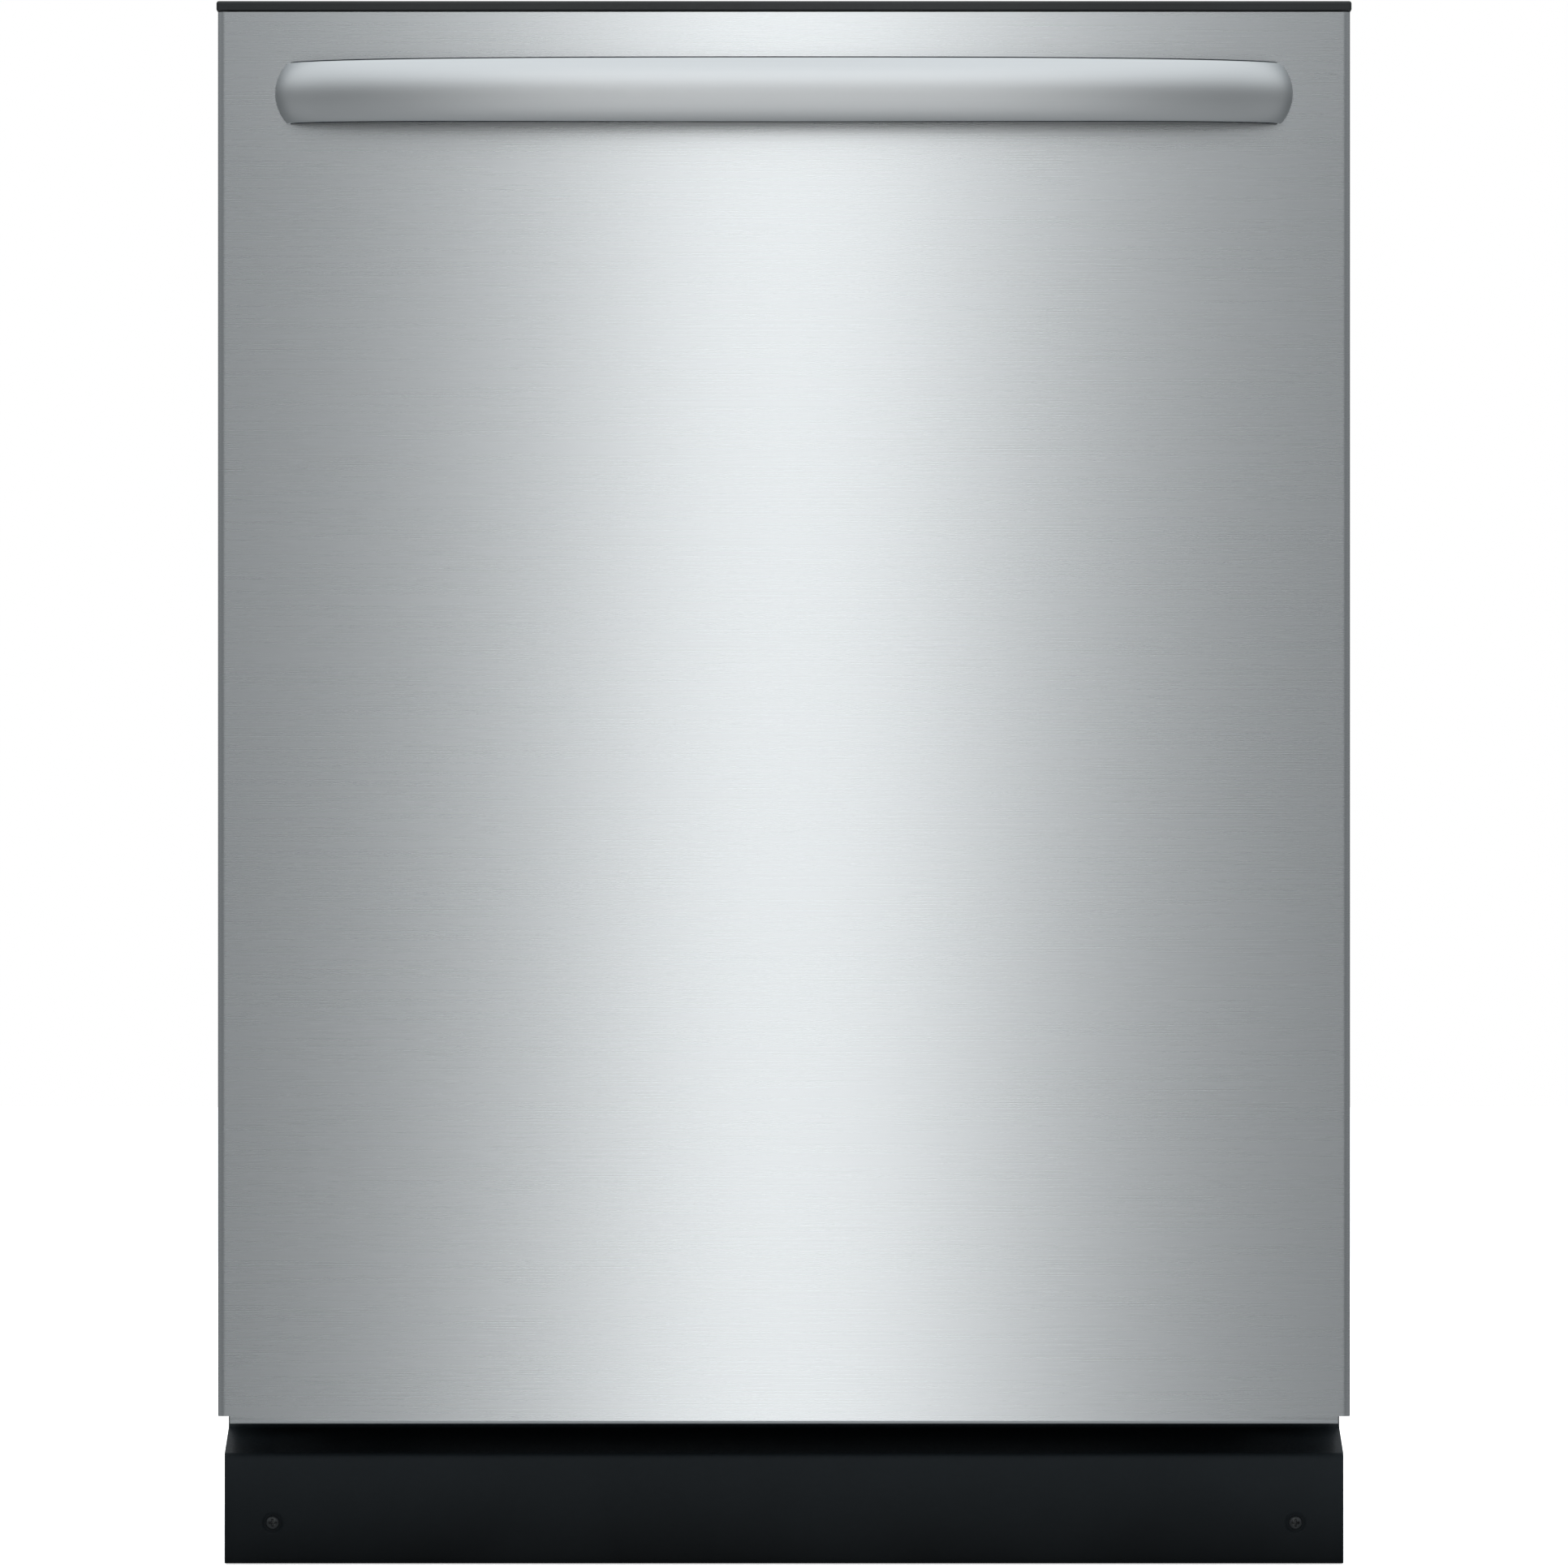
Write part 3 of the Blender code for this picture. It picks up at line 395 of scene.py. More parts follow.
tub_low, tub_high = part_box("tub")
tub_wall = 0.0015
tub_mouth = tub_low[1]
inner_low = np.array([-0.272, tub_low[2] + 0.011])
inner_high = np.array([0.272, tub_high[2] - 0.013])
tub_corner, tub_fillet, sump_radius, sump_y = 0.030, 0.024, 0.100, 0.030


def drawn_tub():
    """Rounded rectangles one behind another, drawn in along a quarter circle at the back.

    The mouth is turned out to a flange. The square of cells over the sump is left out,
    and the floor round it is eased so that the square's edge becomes a circle.
    """
    back = tub_high[1] - tub_wall
    depth = np.arange(-0.19, back - tub_fillet, 0.02)
    turn = np.radians(np.linspace(0, 90, 7))
    rows = [(tub_mouth, -0.007), (tub_mouth, -0.0025), (tub_mouth + 0.0007, -0.0007), (tub_mouth + 0.0025, 0)]
    rows += [(y, 0.0) for y in depth]
    rows += [(back - tub_fillet + tub_fillet * np.sin(a), tub_fillet * (1 - np.cos(a))) for a in turn]
    rows += [(back, tub_fillet + 0.05), (back, tub_fillet + 0.15)]
    base = rounded_rectangle(inner_low, inner_high, tub_corner, 0.02)
    middle = (inner_low + inner_high) / 2
    half = (inner_high - inner_low) / 2
    grid = np.empty((len(rows), len(base), 3))
    for i, (y, inset) in enumerate(rows):
        flat = middle + (base - middle) * (half - inset) / half
        grid[i, :, 0], grid[i, :, 1], grid[i, :, 2] = flat[:, 0], y, flat[:, 1]
    on_floor = grid[..., 2] < inner_low[1] + 1e-6
    away = grid[..., :2] - [0, sump_y]
    square = np.abs(away).max(axis=-1)
    straight = np.maximum(np.linalg.norm(away, axis=-1), 1e-9)
    ease = np.clip(2 - square / sump_radius, 0, 1)
    ease = ease * ease * (3 - 2 * ease) * on_floor
    grid[..., :2] = [0, sump_y] + away * (ease * square / straight + 1 - ease)[..., None]
    wrapped = np.concatenate([square, square[:, :1]], axis=1)
    floor = np.concatenate([on_floor, on_floor[:, :1]], axis=1)
    inside = (wrapped < sump_radius + 1e-6) & floor
    hole = inside[:-1, :-1] & inside[:-1, 1:] & inside[1:, 1:] & inside[1:, :-1]
    return sheet(grid, ends=False, keep=~hole), grid


def cap_of(ring):
    """Closes the last ring of a grid with smaller and smaller copies of it."""
    middle = ring.mean(axis=0)
    share = np.array([1.0, 0.6, 0.2])[:, None, None]
    return middle + (ring - middle) * share


tub_steel = Finish("tub_stainless", Metallic=1.0, Anisotropic=0.2)
tub_mark = tub_steel.noise(7.0, 3.0) * 0.8 + tub_steel.noise(1.0, 2.0, 0.5, (500, 60, 60)) * 0.2
tub_steel.feed(colour=tub_steel.mix(tub_steel.ramp(tub_mark, 0.2, 0.8), (0.66, 0.67, 0.68),
                                    (0.72, 0.73, 0.74)),
               roughness=tub_steel.ramp(tub_mark, 0.2, 0.8, 0.27, 0.33))
tub_steel.bump(tub_steel.noise(12.0, 0.0), 0.0003, 0.15)

tub_sheet, tub_grid = drawn_tub()
back_sheet = sheet(cap_of(tub_grid[-1]), ends=False)
tub_piece = fit(made("tub_drawn", tub_sheet, back_sheet), "root", tub_steel, "tub_stainless", "tub")


def thicken(piece, thickness, offset=-1.0):
    wall = piece.modifiers.new("sheet", "SOLIDIFY")
    wall.thickness = thickness
    wall.offset = offset
    wall.use_even_offset = True
    evened = piece.modifiers.new("even_shading", "WEIGHTED_NORMAL")
    evened.weight = 100
    evened.keep_sharp = True


thicken(tub_piece, tub_wall - 0.0002)


# Tub seal: a black rubber bulb with fine lips, pressed onto the flange up one
# side of the mouth, over the top and down the other.

def bent(corners, radius, steps=5):
    """Straight runs whose corners give way to parabolas that start radius before them."""
    corners = np.asarray(corners, float)
    runs = np.diff(corners, axis=0)
    lengths = np.linalg.norm(runs, axis=1)
    ways = runs / lengths[:, None]
    cut = np.minimum(radius, 0.49 * np.minimum(lengths[:-1], lengths[1:]))[:, None, None]
    share = np.linspace(0, 1, steps + 1)[None, :, None]
    middle = corners[1:-1, None]
    before, after = middle - ways[:-1, None] * cut, middle + ways[1:, None] * cut
    curve = (1 - share) ** 2 * before + 2 * share * (1 - share) * middle + share ** 2 * after
    return np.concatenate([corners[:1], curve.reshape(-1, 3), corners[-1:]])


def evenly(path, step):
    """The same path with a point about every step, and how far along each one is."""
    along = np.concatenate([[0], np.cumsum(np.linalg.norm(np.diff(path, axis=0), axis=1))])
    wanted = np.linspace(0, along[-1], max(2, int(round(along[-1] / step)) + 1))
    return np.stack([np.interp(wanted, along, path[:, i]) for i in range(3)], axis=1), wanted


def carried(path, section, upright, loop=False):
    """Grid of a section carried along a path.

    The section's first coordinate goes across, which is the direction of travel crossed
    with upright, and its second goes up, which is across crossed with travel.
    """
    ahead = np.roll(path, -1, axis=0) - np.roll(path, 1, axis=0) if loop else np.gradient(path, axis=0)
    ahead /= np.linalg.norm(ahead, axis=1, keepdims=True)
    across = np.cross(ahead, upright)
    across /= np.linalg.norm(across, axis=1, keepdims=True)
    up = np.cross(across, ahead)
    section = np.broadcast_to(section, (len(path), *np.shape(section)[-2:]))
    return path[:, None] + across[:, None] * section[..., :1] + up[:, None] * section[..., 1:]


def round_section(radius, sides=8):
    turn = full_turn(sides)
    return np.stack([np.cos(turn), np.sin(turn)], axis=1) * radius


def wire(corners, radius, upright, bend=0.012, sides=8, loop=False, steps=4):
    """A round wire along straight runs with rounded corners."""
    corners = np.asarray(corners, float)
    if loop:
        start = (corners[:1] + corners[-1:]) / 2
        path = bent(np.concatenate([start, corners, start]), bend, steps)[:-1]
    else:
        path = bent(corners, bend, steps) if len(corners) > 2 else corners
    return sheet(carried(path, round_section(radius, sides), upright, loop), ends=not loop, loop=loop)


seal_low, seal_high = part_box("tub_gasket")
rubber = Finish("black_rubber")
bloom = rubber.noise(35.0, 4.0)
rubber.feed(colour=rubber.mix(rubber.ramp(bloom, 0.35, 0.75), (0.014, 0.014, 0.015), (0.045, 0.045, 0.046)),
            roughness=rubber.ramp(bloom, 0.3, 0.7, 0.55, 0.8))
rubber.bump(rubber.noise(1500.0, 1.0), 0.00005, 0.3)


def seal_bulb():
    """A superellipse, taller than wide, with six shallow lips round it."""
    turn = full_turn(48)
    lips = 1 - 0.10 * (0.5 + 0.5 * np.cos(6 * turn)) ** 4
    across = 0.0024 * signed_power(np.cos(turn), 0.7) * lips
    deep = 0.0033 * signed_power(np.sin(turn), 0.7) * lips
    return np.stack([across, deep], axis=1)


seal_x, seal_top, seal_y = seal_high[0] - 0.0026, seal_high[2] - 0.0032, (seal_low[1] + seal_high[1]) / 2
seal_path = bent([(-seal_x, seal_y, seal_low[2]), (-seal_x, seal_y, seal_top), (seal_x, seal_y, seal_top),
                  (seal_x, seal_y, seal_low[2])], 0.016, 8)
fit(made("tub_seal_bulb", sheet(carried(seal_path, seal_bulb(), (0, 1, 0)))), "root", rubber, "rubber",
    "tub_gasket")


# Sound jacket: a mat of recycled cotton felt wrapped over both sides and the
# roof of the tub, a second mat over its back, and foil tape over the seam.

felt_low, felt_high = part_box("insulation_blanket")
felt_thickness = 0.0132

felt = Finish("recycled_felt", Roughness=0.95, Sheen_Weight=0.25)
fibre = felt.noise(1.0, 4.0, 0.7, (900, 220, 350))
tuft = felt.noise(95.0, 4.0, 0.65)
fleck_pick = felt.split(felt.cells(420.0))[0]
grey_felt = felt.mix(felt.ramp(fibre * 0.5 + tuft * 0.5, 0.35, 0.65), (0.060, 0.063, 0.068),
                     (0.155, 0.158, 0.162))
blue_felt = felt.mix(felt.ramp(fleck_pick, 0.86, 0.90, 0.0, 0.7), grey_felt, (0.055, 0.070, 0.105))
felt.feed(colour=felt.mix(felt.ramp(fleck_pick, 0.05, 0.02, 0.0, 0.6), blue_felt, (0.34, 0.33, 0.31)))
felt.bump(fibre * 0.4 + tuft * 0.6, 0.0022, 0.7)


def felt_mat(path, upright, low, high, thickness):
    """A closed mat along a path: its edges are rounded and it swells and sinks a little.

    The section is a superellipse, thin across and wide along upright. Its outer and
    inner faces are eased by three slow waves, and pinched near the two edges.
    """
    turn = full_turn(96)
    side, edge = np.cos(turn), np.sin(turn)
    wide = (high - low) / 2 * signed_power(edge, 0.12)
    thick = thickness / 2 * signed_power(side, 0.25)
    path, along = evenly(path, 0.012)
    rows, columns = along[:, None], wide[None, :]
    wave = (np.sin(rows * 23 + columns * 9) + np.sin(rows * 11 - columns * 31 + 1.0)
            + np.sin(rows * 47 + columns * 17 + 2.0)) / 3
    pinch = 1 - 0.18 * np.exp(-(((high - low) / 2 - np.abs(columns) - 0.016) / 0.003) ** 2)
    pinch = pinch * (1 - 0.10 * np.exp(-((columns / 0.004) ** 2)))
    swell = (0.95 + 0.05 * wave) * pinch
    section = np.stack([thick[None, :] * swell, (low + high) / 2 + columns + 0 * rows], axis=-1)
    base = path.copy()
    base[:, np.argmax(np.abs(upright))] = 0
    return carried(base, section, upright)


half_felt = felt_thickness / 2
wrap_x, back_y, wrap_top = np.array(felt_high) - half_felt - 0.0003
wrap_path = bent([(-wrap_x, 0, felt_low[2]), (-wrap_x, 0, wrap_top), (wrap_x, 0, wrap_top),
                  (wrap_x, 0, felt_low[2])], 0.012, 8)
wrap_mat = felt_mat(wrap_path, (0, 1, 0), felt_low[1], back_y - half_felt, felt_thickness)
wrap = fit(made("felt_wrap", sheet(wrap_mat)), "root", felt, "felt", "insulation_blanket")
back_path = np.array([(-felt_high[0] + 0.001, back_y, 0), (felt_high[0] - 0.001, back_y, 0)])
back_mat = felt_mat(back_path, (0, 0, 1), felt_low[2], felt_high[2] - 0.0005, felt_thickness)
fit(made("felt_back", sheet(back_mat)), "root", felt, "felt")

foil = Finish("foil_tape", Metallic=1.0)
crease = foil.noise(1.0, 4.0, 0.6, (160, 160, 60))
foil.feed(colour=foil.mix(foil.ramp(crease, 0.3, 0.7), (0.55, 0.56, 0.58), (0.75, 0.76, 0.78)),
          roughness=foil.ramp(crease, 0.3, 0.7, 0.22, 0.42))
foil.bump(crease, 0.0006, 0.7)


def tape_strip():
    """Two flaps of tape 24 mm wide, folded over the mats' common edge, along the wrap's path."""
    out = half_felt + 0.0004
    path = wrap_path + [0, felt_high[1] - 0.0002, 0]
    path, _ = evenly(path, 0.008)
    fold = 0.0035
    profile = np.array([(-out, -0.026), (-out, -fold), (-out + fold * 0.3, -fold * 0.3), (-out + fold, 0),
                        (-out + 0.024, 0)])
    return carried(path, profile, (0, 1, 0))


tape = fit(made("felt_tape", sheet(tape_strip(), around=False, ends=False)), "root", foil, "felt")
thicken(tape, 0.00015, 0.0)


# Works under the tub: a moulded sump with a drilled filter plate, a round
# filter cup with a grip, a black wash motor, a drain pump, a feed tube up the
# back wall and a sheathed heating loop.

sump_low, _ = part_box("sump")
sump_rim = tub_low[2] + tub_wall + 0.0003

grey_plastic = Finish("grey_moulded_plastic")
flow = grey_plastic.noise(5.0, 3.0)
grain = grey_plastic.noise(1400.0, 1.0)
grey_plastic.feed(colour=grey_plastic.mix(grey_plastic.ramp(flow, 0.3, 0.7), (0.20, 0.213, 0.226),
                                          (0.24, 0.254, 0.268)),
                  roughness=grey_plastic.ramp(flow * 0.5 + grain * 0.5, 0.3, 0.7, 0.36, 0.52))
grey_plastic.bump(grain, 0.00004, 0.4)

sump_profile = [(0.0140, 0.1765), (0.0155, 0.1755), (0.0160, 0.1740), (0.0164, 0.118), (0.0175, 0.060),
                (0.022, sump_low[2] + 0.0045), (0.089, sump_low[2] + 0.0045), (0.0945, 0.062),
                (0.0952, 0.1150), (0.0965, sump_rim + 0.0012), (0.0985, sump_rim + 0.0019),
                (0.1062, sump_rim + 0.0019), (0.1078, sump_rim + 0.0012), (0.1080, sump_rim),
                (0.0996, sump_rim), (0.0992, 0.062), (0.0960, sump_low[2]), (0.020, sump_low[2])]
sump_middle = (0, sump_y, 0)
fit(made("sump_bowl", sheet(spun(sump_profile, sump_middle, columns=96))), "root", grey_plastic,
    "grey_plastic", "sump")

drilled = Finish("drilled_filter_steel", Metallic=1.0)
hole_phase = 850.0  # radians in a metre: holes 7.4 mm apart in each row
hole_x, hole_y, _ = drilled.split(drilled.place((hole_phase, hole_phase, hole_phase)))
hole_shape = hole_x.wave() * hole_y.wave()
# Painted shade: the holes are near-black colour standing in for the dark sump seen through them, and the bump
# sinks them.
drilled.feed(colour=drilled.mix(drilled.ramp(hole_shape, 0.25, 0.4), (0.62, 0.63, 0.64), (0.02, 0.02, 0.02)),
             roughness=drilled.ramp(hole_shape, 0.25, 0.4, 0.28, 0.8))
drilled.bump(drilled.ramp(hole_shape, 0.1, 0.4, 1.0, 0.0), 0.0003, 0.6)

cup_x = 0.056


def filter_plate():
    """Rings that pass evenly from the filter cup's mouth to the sump's rim, dished between."""
    turn = full_turn(72)[None, :]
    share = np.linspace(0, 1, 13)[:, None]
    inner = np.stack([cup_x + 0.0362 * np.cos(turn), sump_y + 0.0362 * np.sin(turn)], axis=-1)
    outer = np.stack([0.0948 * np.cos(turn), sump_y + 0.0948 * np.sin(turn)], axis=-1)
    flat = inner * (1 - share[..., None]) + outer * share[..., None]
    height = 0.1155 - 0.006 * np.sin(np.pi * share) + 0 * turn
    return np.concatenate([flat, height[..., None]], axis=-1)


plate_piece = fit(made("sump_filter_plate", sheet(filter_plate(), ends=False)), "root", drilled,
                  "tub_stainless")
thicken(plate_piece, 0.0006)

cup_low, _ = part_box("filter_cylinder")
cup_profile = [(0.012, cup_low[2] + 0.004), (0.0305, cup_low[2] + 0.004), (0.031, cup_low[2] + 0.010),
               (0.0314, 0.1305), (0.0322, 0.1337), (0.0335, 0.1340), (0.0340, 0.1332), (0.0340, 0.1255),
               (0.0328, 0.1245), (0.0328, 0.066), (0.0338, 0.062), (0.0338, cup_low[2] + 0.001),
               (0.0320, cup_low[2]), (0.012, cup_low[2])]
fit(made("filter_cup", sheet(spun(cup_profile, (cup_x, sump_y, 0), columns=64)),
         sheet(carried(np.array([(cup_x - 0.0318, sump_y, 0.1268), (cup_x + 0.0318, sump_y, 0.1268)]),
                       rounded_rectangle((-0.0028, -0.0065), (0.0028, 0.0065), 0.0018, 0.02, 4), (0, 0, 1)))),
    "filter_cylinder", grey_plastic, "grey_plastic", "filter_cylinder")

satin_black = Finish("black_powder_coat", Specular_IOR_Level=0.06)
peel = satin_black.noise(650.0, 2.0)
dust = satin_black.noise(9.0, 4.0)
height = satin_black.split(satin_black.place())[2]
# Painted shade: the colour darkens from 65 mm height down to the floor, with a fifth of random dust tone
# mixed in.
painted_shade_and_dust = satin_black.ramp(height, 0.0, 0.065) * 0.8 + satin_black.ramp(dust, 0.4, 0.75) * 0.2
satin_black.feed(colour=satin_black.mix(painted_shade_and_dust, (0.0010, 0.0016, 0.0020), (0.0120, 0.0152, 0.0175)),
                 roughness=satin_black.ramp(peel * 0.5 + dust * 0.5, 0.3, 0.7, 0.40, 0.54))
satin_black.bump(peel, 0.00008, 0.35)

motor_x, motor_z, motor_radius = -0.1635, 0.080, 0.0335
ribs = [(motor_radius - (0.0018 if i % 2 else 0.0), -0.034 + 0.004 * i) for i in range(18)]
motor_profile = [(0.008, -0.060), (0.026, -0.060), (0.0312, -0.055), (0.0320, -0.036)] + ribs + [
    (0.0320, 0.036), (0.0312, 0.055), (0.026, 0.060), (0.008, 0.060)]
fit(made("wash_motor_body", sheet(spun(motor_profile, (motor_x, sump_y, motor_z), "X", 48)), smooth=30.0),
    "root", satin_black, "black_paint", "wash_motor")

white_plastic = clouded("white_moulded_plastic", 6.0, 3.0, (0.70, 0.70, 0.66), (0.80, 0.80, 0.77),
                        0.38, 0.52)
white_plastic.bump(white_plastic.noise(1400.0, 1.0), 0.00004, 0.4)
pump_profile = [(0.006, -0.028), (0.020, -0.028), (0.0236, -0.0245), (0.0240, -0.010), (0.0222, -0.0095),
                (0.0222, 0.004), (0.0240, 0.0045), (0.0240, 0.0200), (0.0225, 0.0275), (0.009, 0.028),
                (0.0070, 0.030), (0.0066, 0.046), (0.0070, 0.0475), (0.004, 0.048)]
fit(made("drain_pump_body", sheet(spun(pump_profile, (0.132, 0.060, 0.078), "X", 48)), smooth=30.0),
    "root", white_plastic, "white_plastic", "drain_pump")
dress(white_plastic, "inlet_valve")

feed_low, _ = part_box("feed_tube")
feed_y, feed_top, collar_pitch = 0.2635, 0.540, 0.084
feed_corners = [(0, feed_y, feed_low[2]), (0, feed_y, feed_top), (0, feed_low[1] + 0.0004, feed_top)]
feed_path, feed_along = evenly(bent(feed_corners, 0.0095, 8), 0.003)
feed_radius = 0.0086 + 0.0004 * (np.mod(feed_along, collar_pitch) < 0.006)
feed_rings = round_section(1.0, 24) * feed_radius[:, None, None]
fit(made("feed_tube_up", sheet(carried(feed_path, feed_rings, (1, 0, 0)))), "root", grey_plastic,
    "grey_plastic", "feed_tube")

sheath = Finish("heater_sheath", Metallic=1.0)
tint = sheath.noise(18.0, 3.0)
sheath.feed(colour=sheath.mix(sheath.ramp(tint, 0.35, 0.65), (0.20, 0.18, 0.16), (0.38, 0.36, 0.34)),
            roughness=sheath.ramp(tint, 0.3, 0.7, 0.36, 0.52))
sheath.bump(sheath.noise(700.0, 2.0), 0.00005, 0.4)
heater_x, heater_y, leg_x, heater_z = 0.225, 0.225, 0.030, 0.130
heater_corners = [(-leg_x, heater_y, sump_rim), (-leg_x, heater_y, heater_z), (-heater_x, heater_y, heater_z),
                  (-heater_x, -0.165, heater_z), (heater_x, -0.165, heater_z), (heater_x, heater_y, heater_z),
                  (leg_x, heater_y, heater_z), (leg_x, heater_y, sump_rim)]


def pipe(path, radius, sides, lean):
    """A round pipe that may bend out of its plane: each ring is squared to the one before."""
    ahead = np.gradient(path, axis=0)
    ahead /= np.linalg.norm(ahead, axis=1, keepdims=True)
    side = np.cross(ahead[0], lean)
    across = []
    for way in ahead:
        side = side - way * np.dot(side, way)
        side = side / np.linalg.norm(side)
        across.append(side)
    across = np.array(across)[:, None]
    up = np.cross(across, ahead[:, None])
    ring = round_section(1.0, sides)[None] * np.broadcast_to(radius, len(path))[:, None, None]
    return sheet(path[:, None] + across * ring[..., :1] + up * ring[..., 1:])


fit(made("heater_loop", pipe(bent(heater_corners, 0.011, 8), 0.0035, 14, (0.3, 0.5, 0.81))), "root", sheath,
    "zinc_steel", "heating_element")

float_low, float_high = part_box("float_cap")
float_middle = ((float_low[0] + float_high[0]) / 2, (float_low[1] + float_high[1]) / 2, float_low[2])
float_profile = [(0.003, 0.0299), (0.010, 0.0290), (0.0138, 0.0268), (0.0165, 0.0235), (0.0177, 0.019),
                 (0.0180, 0.014), (0.0180, 0.001), (0.0172, 0.0002), (0.012, 0.0)]
fit(made("float_dome", sheet(spun(float_profile, float_middle))), "float_cap", grey_plastic, "grey_plastic",
    "float_cap")


# Drain hose: corrugated grey tube with smooth cuffs, from the pump out to the
# back, up over the high loop and down again, in black clips on the back mat. A
# rubber sleeve is pushed over its open end.

hose_corners = [(0.1803, 0.060, 0.078), (0.215, 0.060, 0.078), (0.215, 0.140, 0.092), (0.215, 0.306, 0.092),
                (0.215, 0.306, 0.620), (0.275, 0.306, 0.620), (0.275, 0.306, 0.190)]
hose_radius, hose_groove, hose_pitch = 0.0096, 0.0017, 0.0066


def corrugated():
    """A tube whose radius is a flattened sine of the length along it, between two cuffs."""
    path, along = evenly(bent(hose_corners, 0.026, 8), 0.0011)
    ends = np.clip(np.minimum(along, along[-1] - along) / 0.004 - 7.0, 0, 1)
    groove = 0.5 + 0.5 * np.tanh(2.2 * np.sin(2 * np.pi * along / hose_pitch))
    return pipe(path, hose_radius - ends * hose_groove * groove, 16, (0, 0, 1))


hose = clouded("grey_hose", 25.0, 3.0, (0.27, 0.28, 0.29), (0.38, 0.39, 0.40), 0.40, 0.58)
hose.bump(hose.noise(900.0, 1.0), 0.00005, 0.3)
fit(made("drain_hose_ribbed", corrugated(), smooth=70.0), "root", hose, "hose", "drain_hose")
sleeve = [(0.0080, -0.0098), (0.0106, -0.0098), (0.0110, -0.0088), (0.0110, -0.0010), (0.0104, 0.0),
          (0.0104, 0.0030), (0.0110, 0.0040), (0.0110, 0.0190), (0.0104, 0.0222), (0.0097, 0.0226),
          (0.0097, 0.0004), (0.0080, -0.0002)]
fit(made("drain_hose_sleeve", sheet(spun(sleeve, hose_corners[-1]), ends=False, loop=True)), "root", rubber,
    "rubber", "drain_hose")


def hose_clips():
    """Flat bands: each a strip carried half round the hose and out along the back mat."""
    hug = hose_radius + 0.0010
    foot_y = felt_high[1] + 0.0004
    section = rounded_rectangle((-0.0006, -0.0060), (0.0006, 0.0060), 0.0005, 0.02, 2)
    turn = np.radians(np.linspace(0, 180, 17))
    arch = np.stack([hug * np.cos(turn), hose_corners[-1][1] + hug * np.sin(turn)], axis=1)
    foot = np.array([(0.0215, foot_y), (0.0125, foot_y), (hug, foot_y + 0.002)])
    band = np.concatenate([foot, arch, foot[::-1] * [-1, 1]])
    strips = []
    for x, z in ((0.215, 0.250), (0.215, 0.480), (0.275, 0.500), (0.275, 0.260)):
        path = np.column_stack([x + band[:, 0], band[:, 1], np.full(len(band), z)])
        strips.append(sheet(carried(path, section, (0, 0, 1))))
    return made("hose_clip_bands", *strips)


fit(hose_clips(), "root", satin_black, "black_paint")


# Door springs: close coils of plated wire with straight tails, hooked between
# the base and the hinge plates.

def coil(middle_x, low, high, radius, turns):
    """A wire along a helix about the Y direction whose radius shrinks to the tails."""
    share = np.linspace(0, 1, turns * 20 + 1)
    turn = 2 * np.pi * turns * share
    grow = np.clip(np.minimum(share, 1 - share) * turns / 0.8, 0.05, 1)
    path = np.stack([middle_x + radius * grow * np.cos(turn), low + (high - low) * share,
                     0.080 + radius * grow * np.sin(turn)], axis=1)
    start = path[0] + [0, -0.0095, 0]
    end = path[-1] + [0, 0.0095, 0]
    path = np.concatenate([[start], path, [end]])
    return sheet(carried(path, round_section(0.0008, 6), (0, 1, 0.0001)))


hands = (("left", -1), ("right", 1))
for side_name, side in hands:
    fit(made(f"door_spring_coil_{side_name}", coil(side * 0.270, -0.140, -0.030, 0.0050, 34)), "root", plated,
        "zinc_steel", f"door_spring_{side_name}")


# Lower rack: round steel wires bent to a U in both directions and welded, under
# a grey nylon coat, with a heavier rim, rows of pegs and four wheels.

coated = clouded("nylon_coated_wire", 40.0, 3.0, (0.29, 0.32, 0.35), (0.36, 0.39, 0.42), 0.28, 0.42)
coated.bump(coated.noise(800.0, 1.0), 0.00005, 0.3)

rack_front, rack_back = -0.1945, 0.2445


def rack_wires(half, floor_z, rim_z, thin=0.0016, heavy=0.0023, bend=0.016):
    """U wires across and along at an even spacing, and rings round them at three heights."""
    parts = []
    for y in np.linspace(rack_front + 0.022, rack_back - 0.022, 16):
        parts.append(wire([(-half, y, rim_z), (-half, y, floor_z), (half, y, floor_z), (half, y, rim_z)],
                          thin, (0, 1, 0), bend))
    below = floor_z - 0.0028
    for x in np.linspace(-half + 0.026, half - 0.026, 15):
        parts.append(wire([(x, rack_front, rim_z), (x, rack_front, below), (x, rack_back, below),
                           (x, rack_back, rim_z)], thin, (1, 0, 0), bend))
    for share, radius, out in ((1.0, heavy, 0.0), (0.66, thin, -0.0028), (0.33, thin, -0.0028)):
        z = floor_z + (rim_z - floor_z) * share
        x, front, back = half + out, rack_front - out, rack_back + out
        parts.append(wire([(x, front, z), (x, back, z), (-x, back, z), (-x, front, z)], radius, (0, 0, 1),
                          0.020, loop=True))
    return parts


def pegs(floor_z, height, rows_x):
    """Hairpins: pairs of uprights joined by a round top, and a base wire under each row."""
    parts = []
    for x in rows_x:
        parts.append(wire([(x, -0.150, floor_z + 0.0022), (x, 0.200, floor_z + 0.0022)], 0.0015, (0, 0, 1)))
        for y in -0.110 + 0.027 * np.arange(11):
            hairpin = [(x, y - 0.0045, floor_z), (x, y - 0.0032, floor_z + height),
                       (x, y + 0.0032, floor_z + height), (x, y + 0.0045, floor_z)]
            parts.append(wire(hairpin, 0.0013, (1, 0, 0), 0.0040, 6))
    return parts


